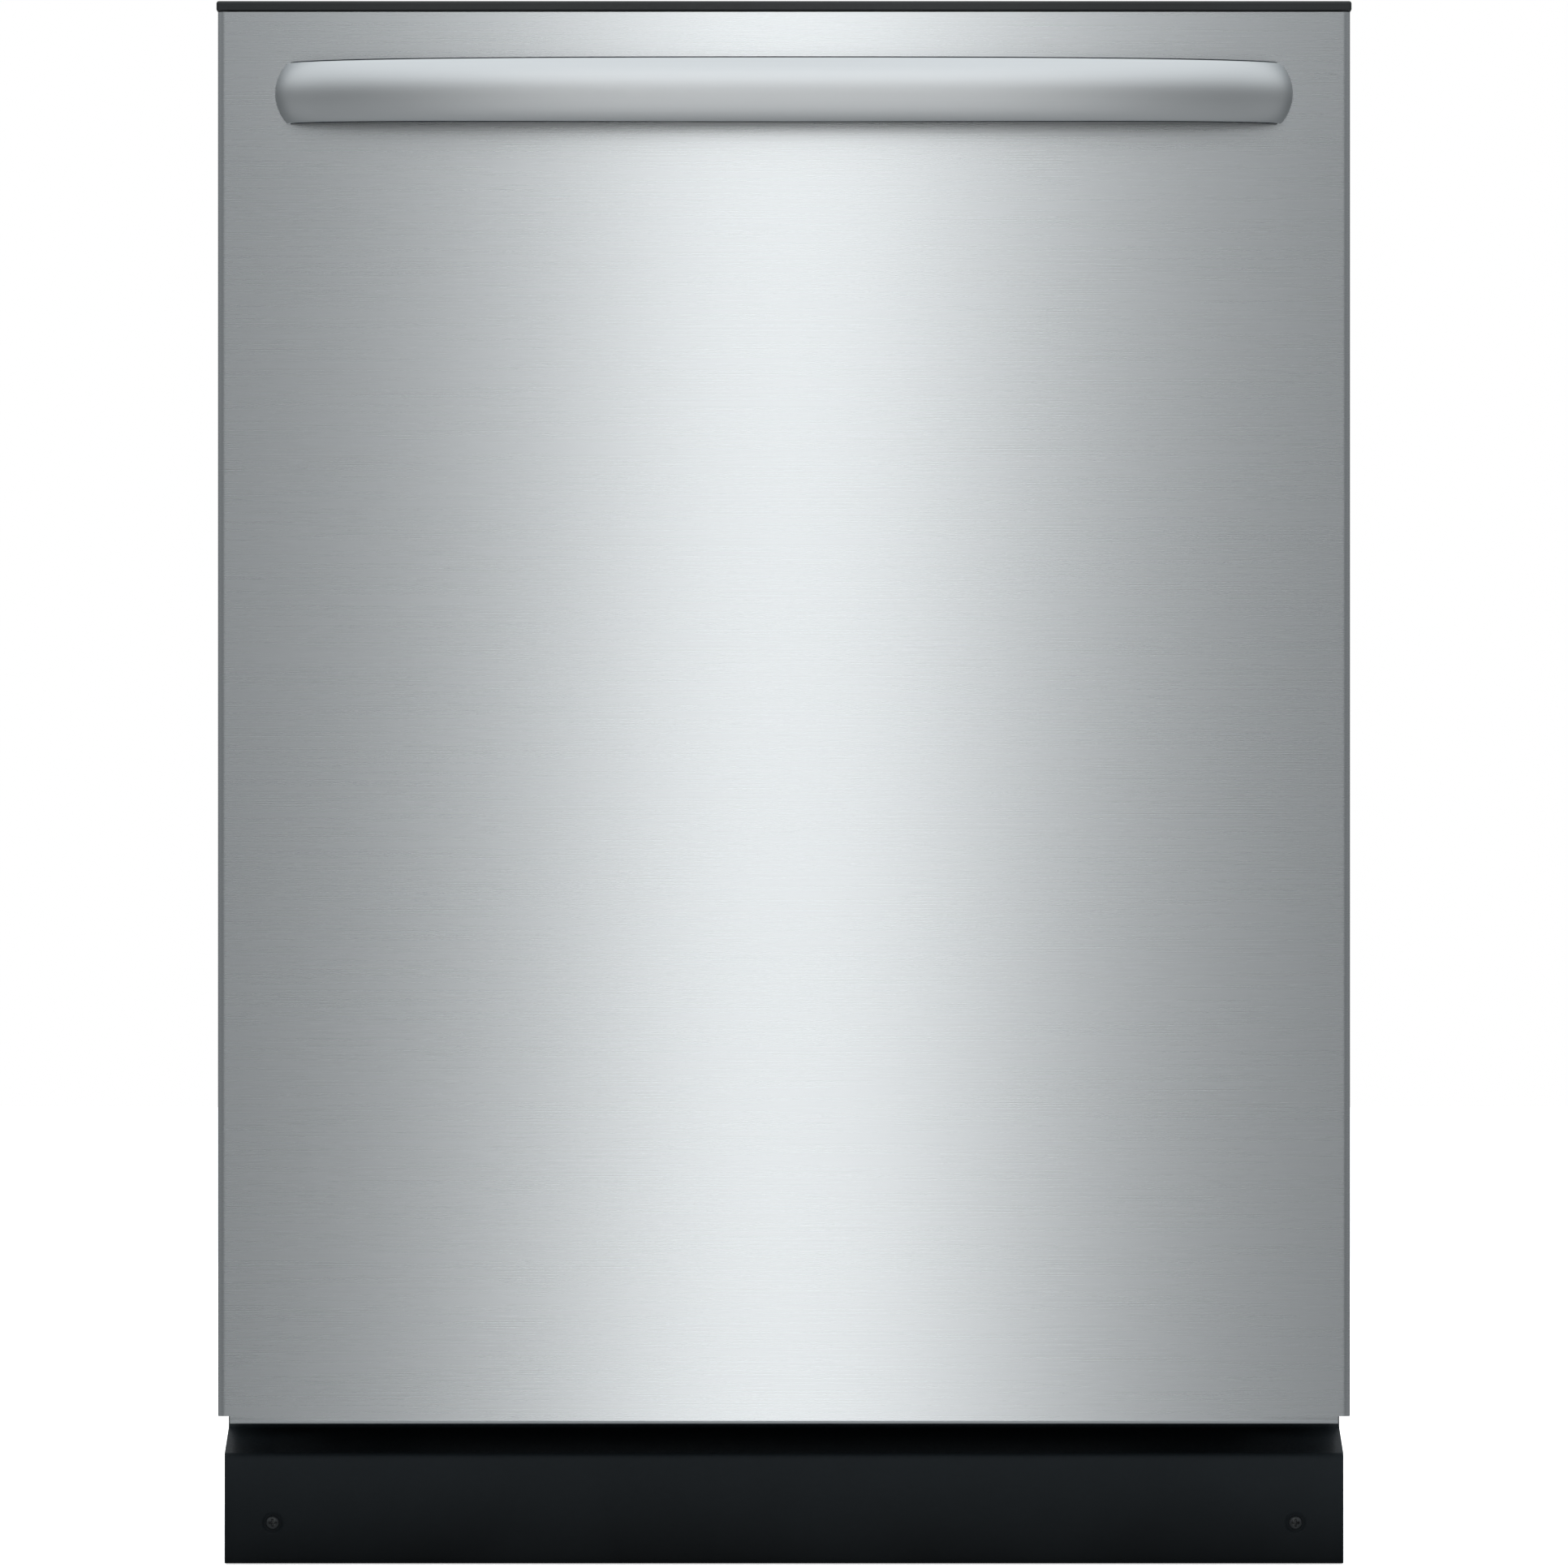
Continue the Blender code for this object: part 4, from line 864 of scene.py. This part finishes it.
def hanger(side, y, axle_z, top):
    """A plate with a round foot for the axle, carried up to the rack's floor wires."""
    turn = np.radians(np.linspace(180, 360, 13))
    outline = np.concatenate([np.stack([0.0070 * np.cos(turn), axle_z + 0.0062 * np.sin(turn)], axis=1),
                              [(0.0070, top), (-0.0070, top)]])
    rows = []
    for x, inset in ((0.2497, 0.0006), (0.2502, 0.0), (0.2548, 0.0), (0.2553, 0.0006)):
        shape = outline * (1 - inset / 0.007)
        shape[:, 1] = axle_z + (outline[:, 1] - axle_z) * (1 - inset / 0.03)
        rows.append(np.stack([np.full(len(shape), side * x), y + shape[:, 0], shape[:, 1]], axis=1))
    return sheet(np.array(rows))


lower_parts = rack_wires(0.2485, 0.2085, 0.333) + pegs(0.2085, 0.0695, (-0.1875, -0.0625))
wheel_low, wheel_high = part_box("lower_wheel_front_left")
wheel_x, wheel_z = 0.2621, (wheel_low[2] + wheel_high[2]) / 2
wheel_ends = (("front", -0.110), ("rear", 0.165))
for _, side in hands:
    for _, y in wheel_ends:
        lower_parts.append(hanger(side, y, wheel_z, 0.2092))
        lower_parts.append(wire([(side * 0.2552, y, wheel_z), (side * 0.2690, y, wheel_z)], 0.0030, (0, 0, 1),
                                sides=16))
fit(made("lower_rack_wires", *lower_parts, smooth=60.0), "lower_rack", coated, "coated_wire", "lower_rack")

tread = [(0.0036, -0.0042), (0.0065, -0.0048), (0.0075, -0.0030), (0.0135, -0.0030), (0.0150, -0.0048),
         (0.0170, -0.0048), (0.0180, -0.0036), (0.0180, 0.0036), (0.0170, 0.0048), (0.0150, 0.0048),
         (0.0135, 0.0030), (0.0075, 0.0030), (0.0065, 0.0048), (0.0036, 0.0042)]


def spokes(middle, side):
    """Six low ribs across the web of a wheel, on its outer side."""
    parts = []
    for turn in np.radians(np.arange(0, 360, 60)):
        way = np.array([0, np.cos(turn), np.sin(turn)])
        path = np.array([middle + [side * 0.0035, 0, 0] + way * reach for reach in (0.0068, 0.0145)])
        section = rounded_rectangle((-0.0009, -0.0008), (0.0009, 0.0008), 0.0003, 0.02, 2)
        parts.append(sheet(carried(path, section, (1, 0, 0))))
    return parts


for end, y in wheel_ends:
    for side_name, side in hands:
        node = f"lower_wheel_{end}_{side_name}"
        middle = np.array([side * wheel_x, y, wheel_z])
        rim = sheet(spun(tread, middle, "X"), ends=False, loop=True)
        fit(made(node + "_tread", rim, *spokes(middle, side)), node, grey_plastic, "grey_plastic", node)


# Cutlery basket: moulded grey plastic with open lattice walls round four
# pockets, solid rims and a carrying bar over the middle wall.

def bars(spans):
    """Boxes, each from its lowest to its highest corner, with one face to each side."""
    low, high = np.array([span[0] for span in spans], float), np.array([span[1] for span in spans], float)
    pick = np.array([(i, j, k) for k in (0, 1) for j in (0, 1) for i in (0, 1)])
    points = np.where(pick[None] == 0, low[:, None], high[:, None])
    quads = np.array([(0, 2, 3, 1), (4, 5, 7, 6), (0, 1, 5, 4), (2, 6, 7, 3), (0, 4, 6, 2), (1, 3, 7, 5)])
    faces = quads[None] + 8 * np.arange(len(low))[:, None, None]
    return points.reshape(-1, 3), faces.reshape(-1, 4).tolist(), []


def lattice_spans(low, high, along, pitch=0.0082, bar=0.0020):
    """Uprights and rails that fill a thin wall, set in a solid band at its top and bottom."""
    low, high = np.array(low), np.array(high)
    spans = [(low, np.where(np.arange(3) == 2, low + 0.009, high)),
             (np.where(np.arange(3) == 2, high - 0.010, low), high)]
    count = int((high[along] - low[along]) / pitch)
    for centre in np.linspace(low[along] + bar / 2, high[along] - bar / 2, count):
        start, end = low.copy(), high.copy()
        start[along], end[along] = centre - bar / 2, centre + bar / 2
        spans.append((start, end))
    for centre in np.linspace(low[2] + 0.024, high[2] - 0.026, 5):
        start, end = low.copy(), high.copy()
        start[2], end[2] = centre - bar / 2, centre + bar / 2
        spans.append((start, end))
    return spans


left, front, bottom = 0.150, -0.1205, 0.2120
right, back, top = 0.235, 0.1205, 0.320
wall, inner_wall, slat = 0.0026, 0.0024, 0.0022
basket_spans = []
for x in (left, right - wall):
    basket_spans += lattice_spans((x, front, bottom), (x + wall, back, top), 1)
for y in (front, back - wall):
    basket_spans += lattice_spans((left, y, bottom), (right, y + wall, top), 0)
for y in (-0.0608, -0.0013, 0.0582):
    basket_spans += lattice_spans((left, y, bottom), (right, y + inner_wall, top), 0)
for x in np.linspace(left, right - slat, 10):
    basket_spans.append(((x, front, bottom), (x + slat, back, bottom + wall)))
for y in np.linspace(front, back - slat, 26):
    basket_spans.append(((left, y, bottom), (right, y + slat, bottom + wall)))
basket_spans.append(((0.1890, -0.0035, 0.316), (0.1960, 0.0015, 0.330)))
grip_path = np.array([(0.1925, y, 0.332) for y in np.linspace(-0.050, 0.050, 9)])
grip_section = rounded_rectangle((-0.0075, -0.0040), (0.0075, 0.0040), 0.0032, 0.02, 5)
grip = sheet(carried(grip_path, grip_section, (0, 0, 1)))
fit(made("cutlery_basket_lattice", bars(basket_spans), grip), "silverware_basket", grey_plastic,
    "grey_plastic", "silverware_basket")


# Upper rack: the same coated wires, two nylon runners that slide in steel
# rails, a fold-down cup shelf, and the water duct under it for the middle arm.

upper_parts = rack_wires(0.2435, 0.550, 0.650) + pegs(0.550, 0.0515, (-0.1225,))
fit(made("upper_rack_wires", *upper_parts, smooth=60.0), "upper_rack", coated, "coated_wire", "upper_rack")


def squarish(half_across, half_up, power=0.35, columns=24):
    """A superellipse: sine and cosine raised to a small power."""
    turn = full_turn(columns)
    return np.stack([half_across * signed_power(np.cos(turn), power),
                     half_up * signed_power(np.sin(turn), power)], axis=1)


runner_parts = []
for _, side in hands:
    share = np.linspace(0, 1, 25)
    taper = 1 - 0.35 * np.exp(-np.minimum(share, 1 - share) / 0.02)
    path = np.stack([0 * share + side * 0.2540, -0.189 + 0.428 * share, 0 * share + 0.5925], axis=1)
    sections = squarish(0.0098, 0.0063)[None] * taper[:, None, None]
    runner_parts.append(sheet(carried(path, sections, (0, 0, 1))))
duct_path = np.array([(0, y, 0.5423) for y in np.linspace(sump_y - 0.0098, 0.2478, 12)])
duct = sheet(carried(duct_path, squarish(0.0100, 0.0080, 0.45), (0, 0, 1)))
post = sheet(spun([(0.0070, 0.5052), (0.0080, 0.5062), (0.0080, 0.5300), (0.0096, 0.5360), (0.0096, 0.5400)],
                  sump_middle))
fit(made("upper_rack_runners", *runner_parts, duct, post), "upper_rack", grey_plastic, "grey_plastic")
dress(zinc, "upper_rail_left", "upper_rail_right")

shelf_low, shelf_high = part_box("cup_shelf")
shelf_z = (shelf_low[2] + shelf_high[2]) / 2
shelf_x0, shelf_x1, shelf_y0, shelf_y1 = 0.1305, 0.2355, -0.0995, 0.1395
shelf_rim = [(shelf_x1, shelf_y0, shelf_z), (shelf_x1, shelf_y1, shelf_z), (shelf_x0, shelf_y1, shelf_z),
             (shelf_x0, shelf_y0, shelf_z)]
shelf_parts = [wire(shelf_rim, 0.0018, (0, 0, 1), 0.014, loop=True)]
for y in np.linspace(shelf_y0 + 0.020, shelf_y1 - 0.020, 10):
    shelf_parts.append(wire([(shelf_x0, y, shelf_z), (shelf_x1, y, shelf_z)], 0.0012, (0, 0, 1)))
for x in (0.165, 0.200):
    shelf_parts.append(wire([(x, shelf_y0, shelf_z - 0.0006), (x, shelf_y1, shelf_z - 0.0006)], 0.0012,
                            (0, 0, 1)))
fit(made("cup_shelf_wires", *shelf_parts, smooth=60.0), "cup_shelf", coated, "coated_wire", "cup_shelf")


# Spray arms: two-bladed moulded arms, thick at the hub and swept at the tips,
# with a row of raised nozzles on each blade.

def blades(reach, low, high, root, tip, sweep):
    """A flattened tube along X whose half width runs from root to tip and closes in a half circle.

    Its middle line is swept sideways in proportion to the distance from the hub, and
    its crown falls by a third towards the tips.
    """
    half = np.concatenate([np.linspace(0, reach - tip, 14),
                           reach - tip + tip * np.sin(np.radians(np.arange(8, 89, 8)))])
    along = np.concatenate([-half[:0:-1], half])
    far = np.abs(along)
    width = np.where(far < reach - tip, root + (tip - root) * far / (reach - tip),
                     np.sqrt(np.maximum(tip ** 2 - (far - reach + tip) ** 2, 1e-8)))
    crown = (high - low) / 2 * (1 - 0.3 * far / reach) * np.clip(width / tip, 0.25, 1) ** 0.5
    shape = squarish(1.0, 1.0, 0.7, 28)
    grid = np.empty((len(along), len(shape), 3))
    grid[..., 0] = along[:, None]
    grid[..., 1] = sump_y + (sweep * along / reach)[:, None] + width[:, None] * shape[None, :, 0]
    grid[..., 2] = low + crown[:, None] * (1 + shape[None, :, 1])
    return sheet(grid)


def nozzles(reach, low, high, sweep, count):
    """Raised rings at an even spacing along both blades, each with the place of its top."""
    rings, mouths = [], []
    for along in np.concatenate([-np.linspace(0.28, 0.92, count), np.linspace(0.22, 0.86, count)]) * reach:
        far = abs(along) / reach
        top = low + (high - low) * (1 - 0.3 * far)
        place = (along, sump_y + sweep * along / reach + 0.003 * np.sign(along), top)
        raised = [(0.0048, -0.0016), (0.0044, -0.0002), (0.0036, 0.0003), (0.0020, 0.0004)]
        rings.append(sheet(spun(raised, place, columns=20)))
        mouths.append(sheet(spun([(0.0019, 0.0001), (0.0018, 0.00055)], place, columns=16)))
    return rings, mouths


# Painted shade: the nozzle mouths are near-black discs standing in for the dark openings.
dark = Finish("nozzle_mouth_shade", Roughness=0.8)
dark_cloud = dark.noise(300.0)
dark.feed(colour=dark.mix(dark_cloud, (0.006, 0.006, 0.006), (0.02, 0.02, 0.02)))

arms = (("lower_spray_arm", 0.206, 0.152, 0.164,
         [(0.0170, 0.1472), (0.0255, 0.1472), (0.0260, 0.1480), (0.0260, 0.1720), (0.0245, 0.1775),
          (0.0200, 0.1808), (0.0100, 0.1819)]),
        ("middle_spray_arm", 0.200, 0.512, 0.524,
         [(0.0088, 0.5082), (0.0175, 0.5082), (0.0180, 0.5090), (0.0180, 0.5235), (0.0172, 0.5265),
          (0.0150, 0.5279), (0.0088, 0.5279)]))
arm_sweep = 0.012
for name, reach, low, high, hub in arms:
    rings, mouths = nozzles(reach, low, high, arm_sweep, 4)
    closed = name == "lower_spray_arm"
    fit(made(name + "_blades", blades(reach, low, high, 0.019, 0.0135, arm_sweep),
             sheet(spun(hub, sump_middle), ends=closed, loop=not closed), *rings), name, grey_plastic,
        "grey_plastic", name)
    fit(made(name + "_mouths", *mouths), name, dark, "black_paint")


# Door skin: one sheet of stainless steel, brushed from side to side, folded
# back along both edges and turned under at the bottom, where the side folds
# stop short.

def brushed_steel(name, tone, roughness, grain=(9.0, 120.0, 2200.0)):
    """Stainless steel with fine scratches along X."""
    steel = Finish(name, Metallic=1.0, Anisotropic=0.1, Anisotropic_Rotation=0.25)
    scratches = steel.noise(1.0, 3.0, 0.6, grain)
    clouds = steel.noise(3.2, 2.0)
    blend = scratches * 0.8 + clouds * 0.2
    dull = tuple(0.993 * value for value in tone)
    bright = tuple(min(1.0, 1.007 * value) for value in tone)
    steel.feed(colour=steel.mix(steel.ramp(blend, 0.36, 0.64), dull, bright),
               roughness=steel.ramp(blend, 0.36, 0.64, roughness - 0.003, roughness + 0.003))
    steel.bump(steel.noise(1.0, 1.0, 0.4, (2.0, 20.0, 20.0)), 0.00005, 0.1)
    return steel


stainless = brushed_steel("brushed_stainless", (0.625, 0.645, 0.655), 0.275)
skin_fold, lip_fold, lip_inset, lip_depth = 0.0022, 0.0015, 0.0053, 0.0130


def arc(centre, radius, start, end, steps):
    """Points on a circle between two angles in degrees."""
    turn = np.radians(np.linspace(start, end, steps + 1))
    return np.stack([centre[0] + radius * np.cos(turn), centre[1] + radius * np.sin(turn)], axis=1)


def folded_skin(low, high):
    """The plan outline of the front, with rounded folds, carried down the height.

    Below the lowest fold only the columns inside the lip go on, and they roll under.
    """
    left = np.concatenate([[[low[0], high[1]], [low[0], low[1] + skin_fold + 0.0006]],
                           arc((low[0] + skin_fold, low[1] + skin_fold), skin_fold, 180, 270, 8),
                           [[low[0] + skin_fold + 0.0006, low[1]]]])
    edge = low[0] + lip_inset
    front_x = np.linspace(edge, -edge, 14)
    plan = np.concatenate([left, np.stack([front_x, np.full(14, low[1])], axis=1), left[::-1] * [-1, 1]])
    stop = low[2] + 0.0031
    roll = arc((low[1] + lip_fold, low[2] + lip_fold), lip_fold, 180, 270, 8)
    levels = np.concatenate([np.linspace(high[2], stop, 10), roll[:, 1], [low[2]]])
    inset = np.concatenate([np.zeros(10), roll[:, 0] - low[1], [lip_depth]])
    grid = np.empty((len(levels), len(plan), 3))
    grid[..., 0] = plan[None, :, 0]
    grid[..., 1] = plan[None, :, 1] + inset[:, None]
    grid[..., 2] = levels[:, None]
    keep = np.ones((len(levels) - 1, len(plan) - 1), bool)
    keep[9:] = np.abs((plan[1:, 0] + plan[:-1, 0]) / 2) < -edge
    return sheet(grid, around=False, ends=False, keep=keep)


skin = fit(made("door_skin", folded_skin(skin_low, skin_high)), "door", stainless, "stainless_skin",
           "door_outer_panel")
thicken(skin, 0.0012)


# Door inside: a drawn stainless liner with a raised border, a felt mat behind
# the skin, the hinge arms, and the dispenser with its sliding lid and cap.

liner_steel = clouded("liner_stainless", 6.0, 1.0, (0.66, 0.67, 0.68), (0.70, 0.71, 0.72), 0.27, 0.31,
                      (0.2, 0.8), Metallic=1.0, Anisotropic=0.2)
liner_x, _, liner_z = liner_steel.split(liner_steel.place())
from_side = liner_steel.ramp(abs(liner_x), 0.246, 0.254, 1.0, 0.0)
from_ends = liner_steel.ramp(abs(liner_z - 0.450), 0.302, 0.310, 1.0, 0.0)
from_dispenser = liner_steel.ramp(abs(liner_x), 0.106, 0.114).most(
    liner_steel.ramp(abs(liner_z - 0.485), 0.071, 0.079))
liner_steel.bump(1.0 - from_side * from_ends * from_dispenser, 0.0035, 1.0)
dress(liner_steel, "door_liner")

mat_low, mat_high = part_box("door_insulation")
mat_y, mat_thickness = (mat_low[1] + mat_high[1]) / 2, mat_high[1] - mat_low[1] - 0.0004
mat_path = np.array([(mat_low[0] + 0.001, mat_y, 0), (mat_high[0] - 0.001, mat_y, 0)])
mat = felt_mat(mat_path, (0, 0, 1), mat_low[2], mat_high[2], mat_thickness)
door_mat = fit(made("door_mat", sheet(mat)), "door", felt, "felt", "door_insulation")
dress(grey_plastic, "dispenser_housing", "detergent_lid", "latch_rocker")
dress(satin_black, "rinse_aid_cap")


# Console: the moulded black top edge of the door, with five pad-printed keys,
# a circuit board inside and the latch rocker in its back.

black_plastic = Finish("black_moulded_plastic", Specular_IOR_Level=0.45)
console_grain = black_plastic.noise(1100.0, 2.0)
console_cloud = black_plastic.noise(8.0, 3.0)
black_plastic.feed(colour=black_plastic.mix(black_plastic.ramp(console_cloud, 0.3, 0.7),
                                            (0.005, 0.0065, 0.007), (0.009, 0.0105, 0.0115)),
                   roughness=black_plastic.ramp(console_grain, 0.3, 0.7, 0.30, 0.42))
black_plastic.bump(console_grain, 0.00005, 0.4)
dress(black_plastic, "control_console")


def key_finish(number, low, high):
    """Dark grey plastic printed with a ring and an upright bar, a flat bar, a drop, a ring, or a ring and a
    flat bar.
    """
    key = Finish(f"printed_key_{number}")
    middle = (low + high) / 2
    x, y, z = key.split(key.place((1, 1, 1), tuple(-middle)))
    reach = (x * x + y * y).root()
    ring = key.ramp(abs(reach - 0.0026), 0.00045, 0.0003)
    bar = key.ramp(abs(x), 0.0004, 0.00025) * key.ramp(abs(y - 0.0016), 0.0018, 0.0016)
    slot = key.ramp(abs(y), 0.0004, 0.00025) * key.ramp(abs(x), 0.0040, 0.0038)
    drop = key.ramp(reach, 0.0020, 0.0018)
    print_on = (ring.most(bar), slot, drop, ring, ring.most(slot))[number - 1]
    top = key.ramp(z, 0.0045, 0.0050)
    grain_of = key.noise(1100.0, 2.0)
    base = key.mix(key.ramp(grain_of, 0.3, 0.7), (0.030, 0.032, 0.034), (0.042, 0.044, 0.046))
    key.feed(colour=key.mix(print_on * top, base, (0.75, 0.76, 0.76)),
             roughness=key.ramp(grain_of, 0.3, 0.7, 0.34, 0.46))
    key.bump(grain_of, 0.00004, 0.35)
    return key


for number in range(1, 6):
    low, high = map(np.array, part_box(f"button_{number}"))
    dress(key_finish(number, low, high), f"button_{number}")

board = Finish("circuit_board", Roughness=0.4)
trace = board.split(board.cells(160.0))[0]
part = board.split(board.cells(60.0))[1]
copper = board.mix(board.ramp(trace, 0.70, 0.72), (0.012, 0.11, 0.045), (0.03, 0.20, 0.09))
board.feed(colour=board.mix(board.ramp(part, 0.86, 0.87), copper, (0.02, 0.02, 0.02)),
           metallic=board.ramp(part, 0.05, 0.04, 0.0, 0.8))
dress(board, "control_board")


# Handle: a crowned bar of the same steel, bowed forward so that its two ends
# meet the door head on. A black strip behind it shows as a thin dark line above
# and below it: a painted shadow line for the gap between bar and door.

handle_low, handle_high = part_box("handle_bar")
handle_crown, handle_taper = 0.0055, 0.0010
shadow_line_margins = (0.0007, 0.0004)


def bowed_bar(low, high, door_y, margins, thickness, back):
    """A crowned section carried along half an oval in plan.

    It stops short of the box by the margins, above and below, and lies behind the crown
    by back. The oval is x to the fourth plus depth squared. Across the bar the face rises as a
    sine squared, and a sharp power of the sine rounds the edges off.
    """
    half = high[0] - handle_crown
    bow = door_y - low[1] - handle_crown
    turn = np.linspace(0.0071, np.pi - 0.0071, 201)
    cosine, sine = np.cos(turn), np.sin(turn)
    x = half * np.sign(cosine) * np.sqrt(np.abs(cosine))
    y = door_y - bow * sine
    run_x = half * 0.5 * sine / np.sqrt(np.maximum(np.abs(cosine), 1e-5))
    run_y = bow * cosine
    length = np.hypot(run_x, run_y)
    out_x, out_y = run_y / length, -run_x / length
    height = (high[2] - low[2]) / 2 - handle_taper * (np.abs(x) / high[0]) ** 2
    around = full_turn(120)
    side, face = np.cos(around), np.sin(around)
    off = handle_crown * face ** 2 - back + thickness / 2 * (signed_power(face, 0.35) - 1)
    grid = np.empty((len(turn), len(around), 3))
    grid[..., 0] = x[:, None] + out_x[:, None] * off[None, :]
    grid[..., 1] = np.minimum(y[:, None] + out_y[:, None] * off[None, :], door_y - 0.0003)
    short = np.where(side > 0, margins[0], margins[1])
    grid[..., 2] = (low[2] + high[2]) / 2 + (height[:, None] - short[None, :]) * side[None, :]
    return sheet(grid)


handle_steel = brushed_steel("brushed_handle", (0.68, 0.695, 0.70), 0.44, (9.0, 300.0, 1500.0))
bar = bowed_bar(handle_low, handle_high, skin_low[1], shadow_line_margins, 0.0035, 0.0)
fit(made("handle_bowed", bar, smooth=60.0), "door", handle_steel, "stainless_skin", "handle_bar")
# Painted shadow: this black strip stands a little above and below the bar as the dark gap line.
strip = bowed_bar(handle_low, handle_high, skin_low[1], (0.0, 0.0), 0.0012, 0.0026)
fit(made("handle_shadow_line", strip), "door", satin_black, "black_paint", "handle_bar")


# Toe panel: one folded sheet of black powder-coated steel, screwed on at both
# ends through pressed dimples with cross-recess pan-head screws.

kick_low, kick_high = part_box("kick_panel")
kick_front = kick_low[1]
screw_x, screw_z, dimple = 0.2747, 0.0226, 0.0055


def toe_sheet():
    """The folded profile carried along X. Round each screw the face is pressed in.

    The dimple's depth is a smooth step of the distance from the screw.
    """
    corners = [(0, -0.2275, kick_low[2]), (0, kick_front, kick_low[2]), (0, kick_front, 0.0595),
               (0, -0.1895, 0.0715), (0, -0.1895, kick_high[2])]
    path = bent(corners, 0.0030, 6)
    face_z = np.concatenate([np.linspace(0.0055, screw_z - 0.0080, 4),
                             np.linspace(screw_z - 0.0070, screw_z + 0.0070, 29),
                             np.linspace(screw_z + 0.0080, 0.0560, 8)])
    on_face = (path[:, 2] > 0.005) & (path[:, 2] < 0.0560)
    start = int(np.argmax(path[:, 2] > 0.005))
    face = np.stack([0 * face_z, 0 * face_z + kick_front, face_z], axis=1)
    path = np.concatenate([path[:start], face, path[start:][~on_face[start:]]])
    near = np.linspace(-0.0070, 0.0070, 29)
    half = kick_high[0]
    between = np.linspace(-screw_x + 0.012, screw_x - 0.012, 40)
    xs = np.concatenate([[-half, -half + 0.006], -screw_x + near, between, screw_x + near,
                         [half - 0.006, half]])
    grid = np.empty((len(xs), len(path), 3))
    grid[..., 0] = xs[:, None]
    grid[..., 1:] = path[None, :, 1:]
    away = np.hypot(np.abs(grid[..., 0]) - screw_x, grid[..., 2] - screw_z)
    share = np.clip((dimple + 0.0006 - away) / 0.0016, 0, 1)
    grid[..., 1] += 0.0009 * share * share * (3 - 2 * share) * (grid[..., 1] < kick_front + 0.0001)
    return sheet(grid, around=False, ends=False)


toe = fit(made("toe_panel", toe_sheet()), "root", satin_black, "black_paint", "kick_panel")
thicken(toe, 0.0012, 1.0)


def cross_recess_head(middle):
    """A domed disc whose height drops inside a tapered cross."""
    reach = np.concatenate([np.linspace(0.0002, 0.0024, 18), np.linspace(0.0027, 0.0033, 5),
                            [0.0034, 0.0034]])[:, None]
    turn = full_turn(96)[None, :]
    dome = 0.0020 * np.sqrt(np.maximum(1 - (reach / 0.0036) ** 2, 0)) + 0.0002
    x, z = reach * np.cos(turn), reach * np.sin(turn)
    arm = np.minimum(np.abs(x), np.abs(z))
    cut = np.clip((0.00055 - arm) / 0.0002, 0, 1) * np.clip((0.0021 - reach) / 0.0003, 0, 1)
    height = dome - 0.0012 * cut
    height[-1] = -0.0004
    return np.stack([middle[0] + x, middle[1] - height, middle[2] + z], axis=-1)


for side_name, side in hands:
    head = cross_recess_head((side * screw_x, kick_front + 0.0007, screw_z))
    shank = spun([(0.0017, 0.0), (0.0017, 0.012), (0.0004, 0.0140)],
                 (side * screw_x, kick_front + 0.0010, screw_z), "Y", 16)
    fit(made(f"toe_screw_{side_name}", sheet(head), sheet(shank)), "root", black_plastic, "black_paint",
        f"kick_screw_{side_name}")
